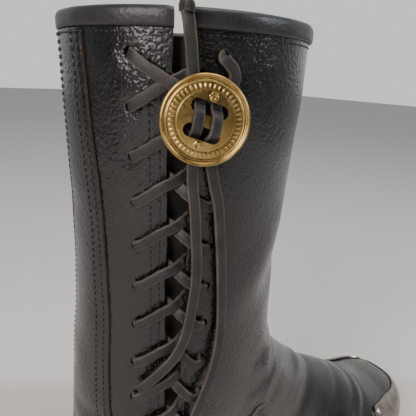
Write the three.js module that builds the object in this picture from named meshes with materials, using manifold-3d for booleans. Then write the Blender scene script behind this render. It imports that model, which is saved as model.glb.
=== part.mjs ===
// Right motorcycle boot with a tall side laced shaft, in millimetres.
import * as THREE from "three";
import { mergeVertices } from "three/addons/utils/BufferGeometryUtils.js";
import Module from "manifold-3d";

const wasm = await Module();
wasm.setup();

// X runs from heel to toe, Y to the inner side of the foot and Z up from the floor under the heel.
const FOOT_LENGTH = 306; // back of the heel to the tip of the toe, over the upper
const HEEL_BACK = -38; // X of the back of the heel
const BOOT_HEIGHT = 328; // floor to the top of the collar
const BALL_WIDTH = 104; // widest place of the upper, across the ball of the foot
const HEEL_HEIGHT = 40; // floor to the seat of the upper under the heel
const SOLE_THICKNESS = 12; // welt and outsole together
const TOE_SPRING = 12; // lift of the sole's tip off the floor
const GAP = 0.3; // clearance between pieces that touch

// Leather pieces.
const WALL = 2.2;
const OVERLAY = 1.6; // counter and backstay
const BINDING_HEIGHT = 7.2;
const BINDING_LEATHER = 1.5;
const GUSSET = 1.3;
const GUSSET_DEPTH = 3.6; // room for the lace between the shaft and the gusset
const INSOLE = 4;
const INSOLE_PLAY = 5; // round the insole, inside the upper's wall

// Sole pieces.
const WELT = 4;
const WELT_MARGIN = 4; // how far the welt and outsole stand out from the upper
const WELT_BAND = 12; // width of the welt's strip, from its outer edge
const HEEL_CAP = 8; // rubber lift under the heel
const HEEL_BREAST = 34; // X of the heel's front face, at its top
const HEEL_TAPER = 0.93; // size of the heel at the floor against its size under the sole
const HEEL_CENTRE = -2; // X about which the heel tapers

// Side opening of the shaft: angles are measured round the shaft from the middle of its back.
const SHAFT_AXIS = 25; // X of the shaft's axis
const SHAFT_RADIUS = 51; // turns a distance round the shaft into an angle
const SLIT_ANGLE = 55.3;
const SLIT_BOTTOM = 124;
const HOLE_TOP = BOOT_HEIGHT - 16; // height of the highest pair of lace holes
const HOLE_STEP = 19.4;
const HOLE_PAIRS = 10;
const HOLE_RADIUS = 2.4;
const HOLE_BACK = 17.5; // from the middle of the slit to the rear row of holes
const HOLE_FRONT = 14.5; // from the middle of the slit to the front row

// Lace, a flat strip of leather.
const LACE_WIDTH = 4.6;
const LACE_THICKNESS = 1.8;
const LACE_RISE = 13.5; // how far a crossing climbs from its rear hole to the front edge of the slit

// Concho, a brass disc that the lace is threaded through.
const CONCHO_RADIUS = 16.8;
const CONCHO_PLATE = 1.6;
const CONCHO_DOME = 1.2; // rise of the plate's middle over its edge
const CONCHO_RIM = 2.2; // width of the raised rim
const CONCHO_ANGLE = 64.3;
const CONCHO_HEIGHT = 289.5;
const CONCHO_STAND = 6.4; // shaft to the back of the disc's edge
const CONCHO_TURN = -17; // degrees that the slots slant
const SLOT_LENGTH = 14.2;
const SLOT_WIDTH = 5;
const SLOT_SPACING = 9.2;
const LOOP_APART = 2.6; // from the concho's middle to the middle of each strip over its bar

// Metal guard round the toe.
const GUARD_PLATE = 1.2;
const GUARD_BACK = 186; // X where its wings end
const GUARD_TOP = 48.5; // height of its upper edge at the wings
const GUARD_TIP = 34; // height of its upper edge at the tip of the toe
const RIVET_X = 201;
const RIVET_Z = 43;
const RIVET_RADIUS = 2.3;

// How finely curved forms are drawn.
const AROUND = 28;
const SOLE_POINTS = 40;

const rad = THREE.MathUtils.degToRad;

// Sections of the upper, from the collar down the shaft, round the heel and along the foot to the toe.
// Each lies in a plane through a rear or lower point and a front or upper point of the boot's middle line.
// rearX and frontX are shares of FOOT_LENGTH, rearZ and frontZ of BOOT_HEIGHT, and the half widths outer
// and inner, the sideways shift of the section and the lean of its crown are shares of BALL_WIDTH.
// widest is the share of the way up where the section is widest; crown and base are the exponents of
// its upper and lower curve, where 2 is an ellipse and more is squarer.
const SECTION_COLUMNS = [
  "rearX", "rearZ", "frontX", "frontZ", "outer", "inner", "shift", "lean", "widest", "crown", "base",
];
const SECTIONS = [
  [0.016, 1.0, 0.39, 1.0, 0.549, 0.549, 0, 0, 0.5, 2, 2],
  [0.021, 0.884, 0.392, 0.884, 0.524, 0.524, 0, 0, 0.5, 2, 2],
  [0.028, 0.747, 0.383, 0.747, 0.479, 0.479, 0, 0, 0.5, 2, 2],
  [0.026, 0.61, 0.383, 0.61, 0.455, 0.455, 0, 0, 0.5, 2, 2],
  [0.016, 0.503, 0.388, 0.508, 0.448, 0.448, 0, 0, 0.5, 2, 2],
  [0.01, 0.399, 0.416, 0.452, 0.44, 0.43, 0, 0.01, 0.5, 2, 2.1],
  [0.003, 0.293, 0.455, 0.404, 0.425, 0.41, 0, 0.03, 0.48, 2, 2.2],
  [0, 0.207, 0.5, 0.362, 0.41, 0.4, 0, 0.05, 0.46, 2, 2.3],
  [0.004, 0.139, 0.545, 0.326, 0.405, 0.39, 0, 0.06, 0.44, 2, 2.4],
  [0.046, 0.091, 0.584, 0.297, 0.405, 0.385, 0, 0.06, 0.4, 2, 2.6],
  [0.163, 0.084, 0.628, 0.27, 0.41, 0.38, 0, 0.06, 0.36, 2, 2.8],
  [0.294, 0.073, 0.676, 0.245, 0.425, 0.385, 0, 0.06, 0.32, 2, 3],
  [0.425, 0.051, 0.728, 0.218, 0.46, 0.415, 0, 0.05, 0.28, 2, 3],
  [0.549, 0.026, 0.78, 0.188, 0.5, 0.45, 0.005, 0.02, 0.25, 2, 3],
  [0.66, 0.014, 0.829, 0.161, 0.51, 0.47, 0.01, 0, 0.25, 2, 3],
  [0.758, 0.014, 0.875, 0.143, 0.475, 0.445, 0.015, 0, 0.27, 2.05, 3],
  [0.843, 0.027, 0.917, 0.132, 0.415, 0.395, 0.02, 0, 0.31, 2.1, 2.8],
  [0.915, 0.04, 0.953, 0.121, 0.33, 0.325, 0.03, 0, 0.38, 2.2, 2.6],
  [0.965, 0.053, 0.979, 0.11, 0.22, 0.22, 0.035, 0, 0.43, 2.2, 2.3],
  [0.99, 0.066, 0.993, 0.093, 0.09, 0.09, 0.035, 0, 0.5, 2, 2],
];
const LAST_SECTION = SECTIONS.length - 1;
const LOWEST_SHAFT_SECTION = 9; // the shaft's lace holes all lie above this section

// The height of the collar's leather edge, which the binding folds over.
const COLLAR_EDGE = BOOT_HEIGHT - BINDING_LEATHER - GAP;

function smoothStep(from, to, value) {
  return THREE.MathUtils.smoothstep(value, from, to);
}

// A section's sizes at a place between rows, along smooth curves through the table's columns.
function sectionAt(place) {
  const row = Math.min(Math.max(Math.floor(place), 0), LAST_SECTION - 1);
  const rest = place - row;
  const near = (step) => SECTIONS[Math.min(Math.max(row + step, 0), LAST_SECTION)];
  const sizes = {};
  SECTION_COLUMNS.forEach((name, column) => {
    const [a, b, c, d] = [-1, 0, 1, 2].map((step) => near(step)[column]);
    const slopeB = (c - a) / 2;
    const slopeC = (d - b) / 2;
    const bend = 3 * (c - b) - 2 * slopeB - slopeC;
    const twist = 2 * (b - c) + slopeB + slopeC;
    sizes[name] = b + rest * (slopeB + rest * (bend + rest * twist));
  });
  return sizes;
}

// A point of the upper's outer face. angle is 0 at the rear or lower point and grows over the outer side.
function facePoint(place, angle) {
  const s = sectionAt(Math.max(place, 0));
  const lift = place < 0 ? -place * BOOT_HEIGHT : 0;
  const rear = new THREE.Vector3(HEEL_BACK + s.rearX * FOOT_LENGTH, 0, s.rearZ * BOOT_HEIGHT + lift);
  const front = new THREE.Vector3(HEEL_BACK + s.frontX * FOOT_LENGTH, 0, s.frontZ * BOOT_HEIGHT + lift);
  const c = Math.cos(angle);
  const power = 2 / (c > 0 ? s.base : s.crown);
  const reach = Math.abs(c) ** power;
  const along = c > 0 ? s.widest * (1 - reach) : s.widest + (1 - s.widest) * reach;
  const across = Math.abs(Math.sin(angle)) ** power;
  const side = Math.sin(angle) > 0 ? -s.outer * across : s.inner * across;
  const point = rear.lerp(front, along);
  point.y += (side + s.shift + s.lean * along) * BALL_WIDTH;
  return point;
}

function faceNormal(place, angle) {
  const step = 0.02;
  const down = facePoint(place + step, angle).sub(facePoint(place - step, angle));
  const round = facePoint(place, angle + step).sub(facePoint(place, angle - step));
  return down.cross(round).normalize();
}

// The outer face moved out along its normal; a negative distance moves it in.
function offsetPoint(place, angle, distance) {
  return facePoint(place, angle).addScaledVector(faceNormal(place, angle), distance);
}

// Height of the upper's lower edge above the floor, from heel to toe.
function featherHeight(x) {
  const share = (x - HEEL_BACK) / FOOT_LENGTH;
  const heel = (HEEL_HEIGHT - SOLE_THICKNESS) * (1 - smoothStep(0.16, 0.62, share));
  const toe = TOE_SPRING * (Math.max(share - 0.76, 0) / 0.24) ** 1.6;
  return SOLE_THICKNESS + heel + toe;
}

// Solids and meshes.
function solidFrom(geometry) {
  const bare = geometry.index ? geometry.toNonIndexed() : geometry.clone();
  bare.deleteAttribute("normal");
  bare.deleteAttribute("uv");
  const merged = mergeVertices(bare, 1e-4);
  const triVerts = new Uint32Array(merged.index.array);
  const mesh = { numProp: 3, vertProperties: merged.attributes.position.array, triVerts };
  return new wasm.Manifold(new wasm.Mesh(mesh));
}

// A closed solid through rings of equal length: a tube with flat ends, or a ring where looped is true.
function loft(rings, looped = false) {
  const count = rings[0].length;
  const points = rings.flat();
  const faces = [];
  const bands = looped ? rings.length : rings.length - 1;
  for (let k = 0; k < bands; k++)
    for (let i = 0; i < count; i++) {
      const next = ((k + 1) % rings.length) * count;
      const j = (i + 1) % count;
      faces.push(k * count + i, k * count + j, next + j);
      faces.push(k * count + i, next + j, next + i);
    }
  if (!looped) {
    const ends = [rings[0], rings.at(-1)].map((ring) =>
      ring.reduce((sum, p) => sum.add(p), new THREE.Vector3()).divideScalar(count),
    );
    points.push(...ends);
    const last = (rings.length - 1) * count;
    for (let i = 0; i < count; i++) {
      const j = (i + 1) % count;
      faces.push(j, i, rings.length * count);
      faces.push(last + i, last + j, rings.length * count + 1);
    }
  }
  if (signedVolume(points, faces) < 0) faces.reverse();
  const geometry = new THREE.BufferGeometry().setFromPoints(points);
  return solidFrom(geometry.setIndex(faces));
}

function signedVolume(points, faces) {
  let sum = 0;
  for (let i = 0; i < faces.length; i += 3) {
    const [a, b, c] = [points[faces[i]], points[faces[i + 1]], points[faces[i + 2]]];
    sum += a.dot(new THREE.Vector3().crossVectors(b, c));
  }
  return sum;
}

const boot = new THREE.Group();

function addPiece(name, solid, color, roughness, metalness = 0) {
  const mesh = solid.getMesh();
  const geometry = new THREE.BufferGeometry();
  geometry.setAttribute("position", new THREE.BufferAttribute(mesh.vertProperties, 3));
  geometry.setIndex(new THREE.BufferAttribute(mesh.triVerts, 1));
  geometry.computeVertexNormals();
  const piece = new THREE.Mesh(geometry, new THREE.MeshStandardMaterial({ color, roughness, metalness }));
  piece.name = name;
  boot.add(piece);
}

// A shape drawn in X and Z, made solid over the whole width of the boot.
function sideBlock(shape) {
  const width = 2 * BALL_WIDTH;
  const block = new THREE.ExtrudeGeometry(shape, { depth: width, bevelEnabled: false });
  return solidFrom(block.rotateX(Math.PI / 2).translate(0, width / 2, 0));
}

// A shape drawn in X and Y, made solid from the floor up.
function uprightBlock(shape, height) {
  return solidFrom(new THREE.ExtrudeGeometry(shape, { depth: height, bevelEnabled: false }));
}

// The side view of a layer whose faces lie at two heights under the upper's lower edge.
function layerShape(upper, lower, from, to) {
  const top = [];
  const bottom = [];
  const steps = 18;
  for (let k = 0; k <= steps; k++) {
    const x = from + ((to - from) * k) / steps;
    top.push(new THREE.Vector2(x, featherHeight(x) + upper));
    bottom.unshift(new THREE.Vector2(x, featherHeight(x) + lower));
  }
  return new THREE.Shape([...top, ...bottom]);
}

function layer(upper, lower) {
  return sideBlock(layerShape(upper, lower, HEEL_BACK - 20, HEEL_BACK + FOOT_LENGTH + 20));
}

// Where rings of the form are drawn: the shaft is nearly straight, so it needs fewer than the foot.
function ringPlaces(shaftStep, footStep) {
  const places = [];
  for (let place = 0; place < 4; place += shaftStep) places.push(place);
  for (let place = 4; place < LAST_SECTION - footStep / 2; place += footStep) places.push(place);
  return [...places, LAST_SECTION];
}

// The upper's whole form, closed over the sole and above the collar, moved out or in by a distance.
function fullForm(distance, places = ringPlaces(0.8, 0.6)) {
  const rings = places.map((place) => {
    const ring = [];
    for (let i = 0; i < AROUND; i++) ring.push(offsetPoint(place, (i / AROUND) * 2 * Math.PI, distance));
    return ring;
  });
  rings.unshift(rings[0].map((p) => p.clone().setZ(BOOT_HEIGHT + 20)));
  return loft(rings);
}

const outerForm = fullForm(0);
const innerForm = fullForm(-WALL, ringPlaces(1.3, 0.8));
const aboveCollar = solidFrom(
  new THREE.BoxGeometry(2 * FOOT_LENGTH, 2 * BALL_WIDTH, 100).translate(0, 0, COLLAR_EDGE + 50),
);
const underFeather = layer(0, -4 * HEEL_HEIGHT);

// The outline of the upper's lower edge in plan, moved out by a distance.
function footprint(distance) {
  const above = (place, angle) => {
    const p = facePoint(place, angle);
    return p.z - featherHeight(p.x);
  };
  const halve = (low, high, test) => {
    for (let k = 0; k < 30; k++) {
      const middle = (low + high) / 2;
      if (test(middle) > 0) high = middle;
      else low = middle;
    }
    return (low + high) / 2;
  };
  const heel = halve(10, 7, (place) => above(place, 0));
  const toe = halve(LAST_SECTION - 1.5, LAST_SECTION, (place) => above(place, 0));
  const half = (side) => {
    const points = [];
    for (let k = 1; k < 60; k++) {
      const place = heel + (toe - heel) * (0.5 - 0.5 * Math.cos((Math.PI * k) / 60));
      const angle = halve(0, Math.PI / 2, (a) => above(place, side * a));
      const p = facePoint(place, side * angle);
      points.push(new THREE.Vector3(p.x, p.y, 0));
    }
    return points;
  };
  const ends = [facePoint(heel, 0).setZ(0), facePoint(toe, 0).setZ(0)];
  const loop = [ends[0], ...half(1), ends[1], ...half(-1).reverse()];
  const curve = new THREE.CatmullRomCurve3(loop, true, "centripetal");
  const points = curve.getSpacedPoints(SOLE_POINTS);
  points.pop();
  return points.map((p, i) => {
    const before = points.at(i - 1);
    const after = points[(i + 1) % points.length];
    const along = new THREE.Vector2(after.x - before.x, after.y - before.y).normalize();
    return new THREE.Vector2(p.x - along.y * distance, p.y + along.x * distance);
  });
}

// The footprint's points run heel, outer side, toe, inner side, so their outward side is on the right.
function soleShape(distance) {
  return new THREE.Shape(footprint(-distance));
}

// The shaft's outer face at an angle round its axis from the back, and at a height.
function shaftPlace(angle, height) {
  let round = rad(angle);
  let place = 2;
  for (let k = 0; k < 12; k++) {
    let low = -0.05;
    let high = LOWEST_SHAFT_SECTION;
    for (let n = 0; n < 24; n++) {
      place = (low + high) / 2;
      if (facePoint(place, round).z > height) low = place;
      else high = place;
    }
    const p = facePoint(place, round);
    const miss = rad(angle) - Math.atan2(-p.y, SHAFT_AXIS - p.x);
    round += Math.atan2(Math.sin(miss), Math.cos(miss));
  }
  return [place, round];
}

// A point near the shaft: how far round from the middle of the slit, its height and its distance out.
function shaftPoint(across, height, out) {
  const angle = SLIT_ANGLE + THREE.MathUtils.radToDeg(across / SHAFT_RADIUS);
  const [place, round] = shaftPlace(angle, height);
  const point = offsetPoint(place, round, out);
  return { point, normal: faceNormal(place, round) };
}

// A shape drawn in distance round from the slit and height, pushed out through the shaft's wall.
function slitBlock(shape) {
  const block = new THREE.ExtrudeGeometry(shape, { depth: 2 * SHAFT_RADIUS, bevelEnabled: false });
  block.rotateX(Math.PI / 2);
  block.rotateZ(rad(SLIT_ANGLE - 90));
  return solidFrom(block.translate(SHAFT_AXIS, 0, 0));
}

// Half widths of the slit, in millimetres, at shares of the way from its bottom to the collar.
const SLIT_WIDTHS = [
  { up: 0, half: 1.2 },
  { up: 0.015, half: 2.4 },
  { up: 0.18, half: 3.6 },
  { up: 0.45, half: 4.4 },
  { up: 0.72, half: 4.3 },
  { up: 0.89, half: 3.6 },
  { up: 0.97, half: 2.6 },
  { up: 1.05, half: 2.4 },
];

function slitShape() {
  const edge = (side) =>
    SLIT_WIDTHS.map(
      ({ up, half }) => new THREE.Vector2(side * half, THREE.MathUtils.lerp(SLIT_BOTTOM, BOOT_HEIGHT, up)),
    );
  return new THREE.Shape([...edge(1), ...edge(-1).reverse()]);
}

const slit = slitBlock(slitShape());

function holeHeights() {
  return Array.from({ length: HOLE_PAIRS }, (_, k) => HOLE_TOP - k * HOLE_STEP);
}

function laceHole(across, height) {
  const { point, normal } = shaftPoint(across, height, 0);
  const length = 6 * WALL;
  const pin = new THREE.CylinderGeometry(HOLE_RADIUS, HOLE_RADIUS, length, 6);
  pin.applyQuaternion(new THREE.Quaternion().setFromUnitVectors(new THREE.Vector3(0, 1, 0), normal));
  return solidFrom(pin.translate(point.x, point.y, point.z));
}

function makeUpper() {
  let upper = outerForm.subtract(innerForm).subtract(underFeather).subtract(aboveCollar).subtract(slit);
  holeHeights().forEach((height) => {
    upper = upper.subtract(laceHole(-HOLE_BACK, height)).subtract(laceHole(HOLE_FRONT, height));
  });
  addPiece("upper", upper, 0x15161a, 0.35);
}

// Overlays lie on the upper between two forms of its own.
const overlay = fullForm(GAP + OVERLAY).subtract(fullForm(GAP));

// The counter's outline seen from the side, as shares of FOOT_LENGTH and BOOT_HEIGHT.
const COUNTER_OUTLINE = [
  { x: -0.1, z: 0.02 },
  { x: -0.1, z: 0.311 },
  { x: 0.13, z: 0.312 },
  { x: 0.23, z: 0.33 },
  { x: 0.318, z: 0.358 },
  { x: 0.342, z: 0.35 },
  { x: 0.352, z: 0.28 },
  { x: 0.362, z: 0.02 },
];

function counterShape(grow) {
  const points = COUNTER_OUTLINE.map(
    ({ x, z }) => new THREE.Vector2(HEEL_BACK + x * FOOT_LENGTH, z * BOOT_HEIGHT + grow),
  );
  return new THREE.Shape(points);
}

function makeCounter() {
  const raised = overlay.intersect(sideBlock(counterShape(0)));
  addPiece("counter", raised.subtract(layer(GAP, -4 * HEEL_HEIGHT)), 0x131418, 0.4);
}

// The backstay covers the back seam from the binding to the counter and widens downwards.
const BACKSTAY_TOP = 13; // half width under the binding
const BACKSTAY_FOOT = 26; // half width at the counter

function makeBackstay() {
  const top = BOOT_HEIGHT - BINDING_HEIGHT - GAP;
  const foot = 0.25 * BOOT_HEIGHT;
  const outline = [
    new THREE.Vector2(-BACKSTAY_FOOT, foot),
    new THREE.Vector2(BACKSTAY_FOOT, foot),
    new THREE.Vector2(BACKSTAY_TOP, top),
    new THREE.Vector2(-BACKSTAY_TOP, top),
  ];
  const strip = new THREE.ExtrudeGeometry(new THREE.Shape(outline), { depth: 60, bevelEnabled: false });
  strip.rotateX(Math.PI / 2).rotateZ(Math.PI / 2);
  const region = solidFrom(strip.translate(HEEL_BACK - 20, 0, 0));
  const strap = overlay.intersect(region).subtract(sideBlock(counterShape(GAP)));
  addPiece("backstay", strap, 0x131418, 0.38);
}

// The binding's section: distance out from the shaft's outer face, and height under the top.
function bindingSection() {
  const outside = GAP + BINDING_LEATHER;
  const inside = -WALL - GAP - BINDING_LEATHER;
  return [
    [outside - 0.5, -BINDING_HEIGHT],
    [outside, -BINDING_HEIGHT + 1],
    [outside, -1.4],
    [outside - 1, -0.2],
    [-WALL / 2, 0],
    [inside + 1, -0.2],
    [inside, -1.4],
    [inside, -BINDING_HEIGHT],
    [-WALL - GAP, -BINDING_HEIGHT],
    [-WALL - GAP, -BINDING_LEATHER],
    [GAP, -BINDING_LEATHER],
    [GAP, -BINDING_HEIGHT],
  ];
}

function makeBinding() {
  const rings = [];
  for (let i = 0; i < AROUND; i++) {
    const ring = bindingSection().map(([out, under]) => {
      const [place, round] = shaftPlace((i / AROUND) * 360, BOOT_HEIGHT + under);
      return offsetPoint(place, round, out).setZ(BOOT_HEIGHT + under);
    });
    rings.push(ring);
  }
  addPiece("collar_binding", loft(rings, true).subtract(slit), 0x17181b, 0.45);
}

// The gusset closes the slit from inside: its edges lie on the shaft and its middle stands clear.
function makeGusset() {
  const reach = 27;
  const lowest = SLIT_BOTTOM - 9;
  const highest = COLLAR_EDGE - BINDING_HEIGHT - 1;
  const rings = [0, 0.15, 0.32, 0.52, 0.71, 0.88, 1].map((up) => {
    const height = THREE.MathUtils.lerp(lowest, highest, up);
    const near = [];
    const far = [];
    for (let k = 0; k <= 8; k++) {
      const across = reach * (k / 4 - 1);
      const deep = WALL + 3 * GAP + GUSSET_DEPTH * (1 - smoothStep(0.72, 1, Math.abs(across) / reach));
      near.push(shaftPoint(across, height, -deep).point);
      far.unshift(shaftPoint(across, height, -deep - GUSSET).point);
    }
    return [...near, ...far];
  });
  addPiece("gusset", loft(rings), 0x0e0e10, 0.7);
}

function makeInsole() {
  const board = uprightBlock(soleShape(-WALL - INSOLE_PLAY), BOOT_HEIGHT).intersect(layer(INSOLE, 0));
  const filling = uprightBlock(soleShape(WELT_MARGIN - WELT_BAND - GAP), BOOT_HEIGHT);
  const core = filling.intersect(layer(INSOLE / 2, -WELT));
  addPiece("insole", board.add(core), 0x5a4632, 0.8);
}

function makeWelt() {
  const band = uprightBlock(soleShape(WELT_MARGIN), BOOT_HEIGHT);
  const inside = uprightBlock(soleShape(WELT_MARGIN - WELT_BAND), BOOT_HEIGHT);
  addPiece("welt", band.subtract(inside).intersect(layer(-GAP, -WELT)), 0x1a1917, 0.6);
}

function makeOutsole() {
  const outline = uprightBlock(soleShape(WELT_MARGIN), BOOT_HEIGHT);
  addPiece("outsole", outline.intersect(layer(-WELT - GAP, -SOLE_THICKNESS)), 0x151514, 0.75);
}

// The heel's outline at a height: the sole's outline behind the breast, drawn in towards the floor.
function heelRing(height) {
  const full = HEEL_HEIGHT - SOLE_THICKNESS;
  const size = THREE.MathUtils.lerp(HEEL_TAPER, 1, height / full);
  const outline = footprint(-WELT_MARGIN).filter((p) => p.x < HEEL_BREAST - 6);
  const start = outline.findIndex((p, i) => i > 0 && p.distanceTo(outline[i - 1]) > 30);
  const behind = [...outline.slice(start), ...outline.slice(0, start)];
  const corners = [behind.at(-1), behind[0]].map((p) => new THREE.Vector2(HEEL_BREAST, p.y));
  return [...behind, ...corners].map(
    (p) => new THREE.Vector3(HEEL_CENTRE + (p.x - HEEL_CENTRE) * size, p.y * size, height),
  );
}

function makeHeel() {
  const top = HEEL_HEIGHT - SOLE_THICKNESS + 10;
  const under = sideBlock(layerShape(-SOLE_THICKNESS - GAP, -4 * HEEL_HEIGHT, HEEL_BACK - 20, HEEL_BREAST + 20));
  const stack = loft([heelRing(HEEL_CAP + GAP), heelRing(top)]).intersect(under);
  addPiece("heel_stack", stack, 0x1b1917, 0.55);
  addPiece("heel_cap", loft([heelRing(0), heelRing(HEEL_CAP)]), 0x111111, 0.85);
}

// The guard's upper edge from its tip back to its wing, as shares of its length and of its rise.
const GUARD_EDGE = [
  { along: 1, rise: 0 },
  { along: 0.866, rise: 0.14 },
  { along: 0.73, rise: 0.33 },
  { along: 0.56, rise: 0.5 },
  { along: 0.34, rise: 0.74 },
  { along: 0.17, rise: 0.93 },
  { along: 0.04, rise: 1 },
  { along: 0, rise: 0.8 },
];

// The guard follows the toe of the upper, steps out over the welt and runs down the sole's edge.
function makeToeGuard() {
  const shell = fullForm(GAP + GUARD_PLATE);
  const clear = fullForm(GAP);
  const wide = uprightBlock(soleShape(WELT_MARGIN + GAP + GUARD_PLATE), BOOT_HEIGHT);
  const narrow = uprightBlock(soleShape(WELT_MARGIN + GAP), BOOT_HEIGHT);
  const band = shell.subtract(layer(0, -4 * HEEL_HEIGHT));
  const ledge = wide.intersect(layer(GUARD_PLATE, 0));
  const edge = wide.subtract(narrow).intersect(layer(GUARD_PLATE, 3 - SOLE_THICKNESS));
  const tip = HEEL_BACK + FOOT_LENGTH;
  const top = GUARD_EDGE.map(
    ({ along, rise }) =>
      new THREE.Vector2(THREE.MathUtils.lerp(GUARD_BACK, tip, along), THREE.MathUtils.lerp(GUARD_TIP, GUARD_TOP, rise)),
  );
  const below = [
    new THREE.Vector2(GUARD_BACK + 12, 0),
    new THREE.Vector2(tip + 20, 0),
    new THREE.Vector2(tip + 20, GUARD_TIP),
  ];
  const region = new THREE.Shape([...below, ...top]);
  const guard = band.add(ledge).add(edge).subtract(clear).intersect(sideBlock(region));
  addPiece("toe_guard", guard, 0x6e625a, 0.35, 0.9);
}

// A domed rivet head on each wing of the guard.
function makeRivets() {
  const profile = [
    new THREE.Vector2(0, 0),
    new THREE.Vector2(RIVET_RADIUS, 0),
    new THREE.Vector2(RIVET_RADIUS * 0.85, 0.8),
    new THREE.Vector2(0, 1.4),
  ];
  ["outer", "inner"].forEach((name, k) => {
    const side = k === 0 ? 1 : -1;
    let best = null;
    for (let place = 13; place < LAST_SECTION; place += 0.05)
      for (let angle = 0.3; angle < 2.2; angle += 0.03) {
        const p = facePoint(place, side * angle);
        const far = Math.hypot(p.x - RIVET_X, p.z - RIVET_Z);
        if (!best || far < best.far) best = { far, place, angle: side * angle };
      }
    const seat = offsetPoint(best.place, best.angle, 2 * GAP + GUARD_PLATE);
    const head = new THREE.LatheGeometry(profile, 10);
    const normal = faceNormal(best.place, best.angle);
    head.applyQuaternion(new THREE.Quaternion().setFromUnitVectors(new THREE.Vector3(0, 1, 0), normal));
    addPiece(`guard_rivet_${name}`, solidFrom(head.translate(seat.x, seat.y, seat.z)), 0xb9bcc0, 0.25, 1);
  });
}

// A flat strip that follows a list of places near the shaft: distance round, height and distance out.
function strap(places, width, thickness) {
  const spots = places.map(([across, height, out]) => shaftPoint(across, height, out));
  const curve = new THREE.CatmullRomCurve3(spots.map(({ point }) => point));
  const steps = 2 * (places.length - 1);
  const rings = [];
  for (let k = 0; k <= steps; k++) {
    const share = k / steps;
    const centre = curve.getPoint(share);
    const along = curve.getTangent(share);
    const row = Math.min(Math.floor(share * (spots.length - 1)), spots.length - 2);
    const rest = share * (spots.length - 1) - row;
    const normal = spots[row].normal.clone().lerp(spots[row + 1].normal, rest);
    const across = along.clone().cross(normal).normalize();
    const out = across.clone().cross(along).normalize();
    const ring = [[1, 1], [-1, 1], [-1, -1], [1, -1]];
    rings.push(
      ring.map(([a, b]) =>
        centre
          .clone()
          .addScaledVector(across, (a * width) / 2)
          .addScaledVector(out, (b * thickness) / 2),
      ),
    );
  }
  return loft(rings);
}

// Each crossing is two strips joined in the slit: one climbs from the rear hole over the rear edge,
// the other comes out over the front edge and drops to the front hole. The top pair holds the lace's ends.
function makeCrossings() {
  const over = 3 * GAP + LACE_THICKNESS / 2;
  const pairs = holeHeights().slice(1);
  pairs.forEach((height, k) => {
    const rising = [
      [-HOLE_BACK, height, over],
      [-HOLE_BACK + 6, height + 0.3 * LACE_RISE, over + 0.5],
      [-5, height + 0.6 * LACE_RISE, over + 0.7],
      [-1.5, height + 0.76 * LACE_RISE, over],
      [1.4, height + 0.88 * LACE_RISE, 0],
    ];
    const falling = [
      [HOLE_FRONT, height, over],
      [HOLE_FRONT - 5, height + 0.1 * LACE_RISE, over + 0.5],
      [5, height + 0.35 * LACE_RISE, over + 0.7],
      [1.5, height + 0.58 * LACE_RISE, over - 0.4],
      [-1.4, height + 0.76 * LACE_RISE, -0.4],
    ];
    const both = [rising, falling].map((places) => strap(places, LACE_WIDTH, LACE_THICKNESS));
    addPiece(`lace_crossing_${k + 1}`, both[0].add(both[1]), 0x26231f, 0.7);
  });
}

// Directions at the concho: to its right as seen from outside, up, and out of the shaft.
function conchoFrame() {
  const out = new THREE.Vector3(-Math.cos(rad(CONCHO_ANGLE)), -Math.sin(rad(CONCHO_ANGLE)), 0);
  const up = new THREE.Vector3(0, 0, 1);
  const right = up.clone().cross(out);
  const across = rad(CONCHO_ANGLE - SLIT_ANGLE) * SHAFT_RADIUS;
  const centre = shaftPoint(across, CONCHO_HEIGHT, 0).point.addScaledVector(out, CONCHO_STAND);
  return new THREE.Matrix4().makeBasis(right, up, out).setPosition(centre);
}

// The concho is a domed disc with a raised rim and two slots that leave a bar between them.
function makeConcho() {
  const edge = CONCHO_RADIUS;
  const inside = edge - CONCHO_RIM;
  const profile = [
    new THREE.Vector2(0, CONCHO_DOME),
    new THREE.Vector2(inside * 0.6, CONCHO_DOME * 0.6),
    new THREE.Vector2(edge, 0),
    new THREE.Vector2(edge, CONCHO_PLATE),
    new THREE.Vector2(edge - 0.4 * CONCHO_RIM, CONCHO_PLATE + 0.5),
    new THREE.Vector2(inside, CONCHO_PLATE + 0.15),
    new THREE.Vector2(inside * 0.6, CONCHO_PLATE + CONCHO_DOME * 0.6),
    new THREE.Vector2(0, CONCHO_PLATE + CONCHO_DOME),
  ];
  const disc = new THREE.LatheGeometry(profile, 26).rotateX(Math.PI / 2);
  let concho = solidFrom(disc);
  const half = (SLOT_LENGTH - SLOT_WIDTH) / 2;
  [-1, 1].forEach((side) => {
    const slot = new THREE.Shape();
    slot.absarc(half, (side * SLOT_SPACING) / 2, SLOT_WIDTH / 2, -Math.PI / 2, Math.PI / 2);
    slot.absarc(-half, (side * SLOT_SPACING) / 2, SLOT_WIDTH / 2, Math.PI / 2, (3 * Math.PI) / 2);
    const options = { depth: 20, bevelEnabled: false, curveSegments: 3 };
    concho = concho.subtract(solidFrom(new THREE.ExtrudeGeometry(slot, options).translate(0, 0, -10)));
  });
  const turned = conchoFrame().multiply(new THREE.Matrix4().makeRotationZ(rad(CONCHO_TURN)));
  addPiece("concho", concho.transform(turned.elements), 0xa98442, 0.35, 0.9);
}

// Two strips side by side come out of the concho's upper slot, cross its bar and go in at its lower slot.
// up and out are measured from the middle of the back of the disc's edge.
const CONCHO_LOOP = [
  { up: 9, out: -1.5 },
  { up: 7.2, out: -1.4 },
  { up: 5.6, out: -0.2 },
  { up: 4.5, out: 1.8 },
  { up: 3.3, out: 3.8 },
  { up: 1.9, out: 4.6 },
  { up: 0, out: 4.8 },
  { up: -1.9, out: 4.6 },
  { up: -3.3, out: 3.8 },
  { up: -4.5, out: 1.8 },
  { up: -5.6, out: -0.2 },
  { up: -7.2, out: -1.4 },
  { up: -9, out: -1.5 },
];

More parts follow.
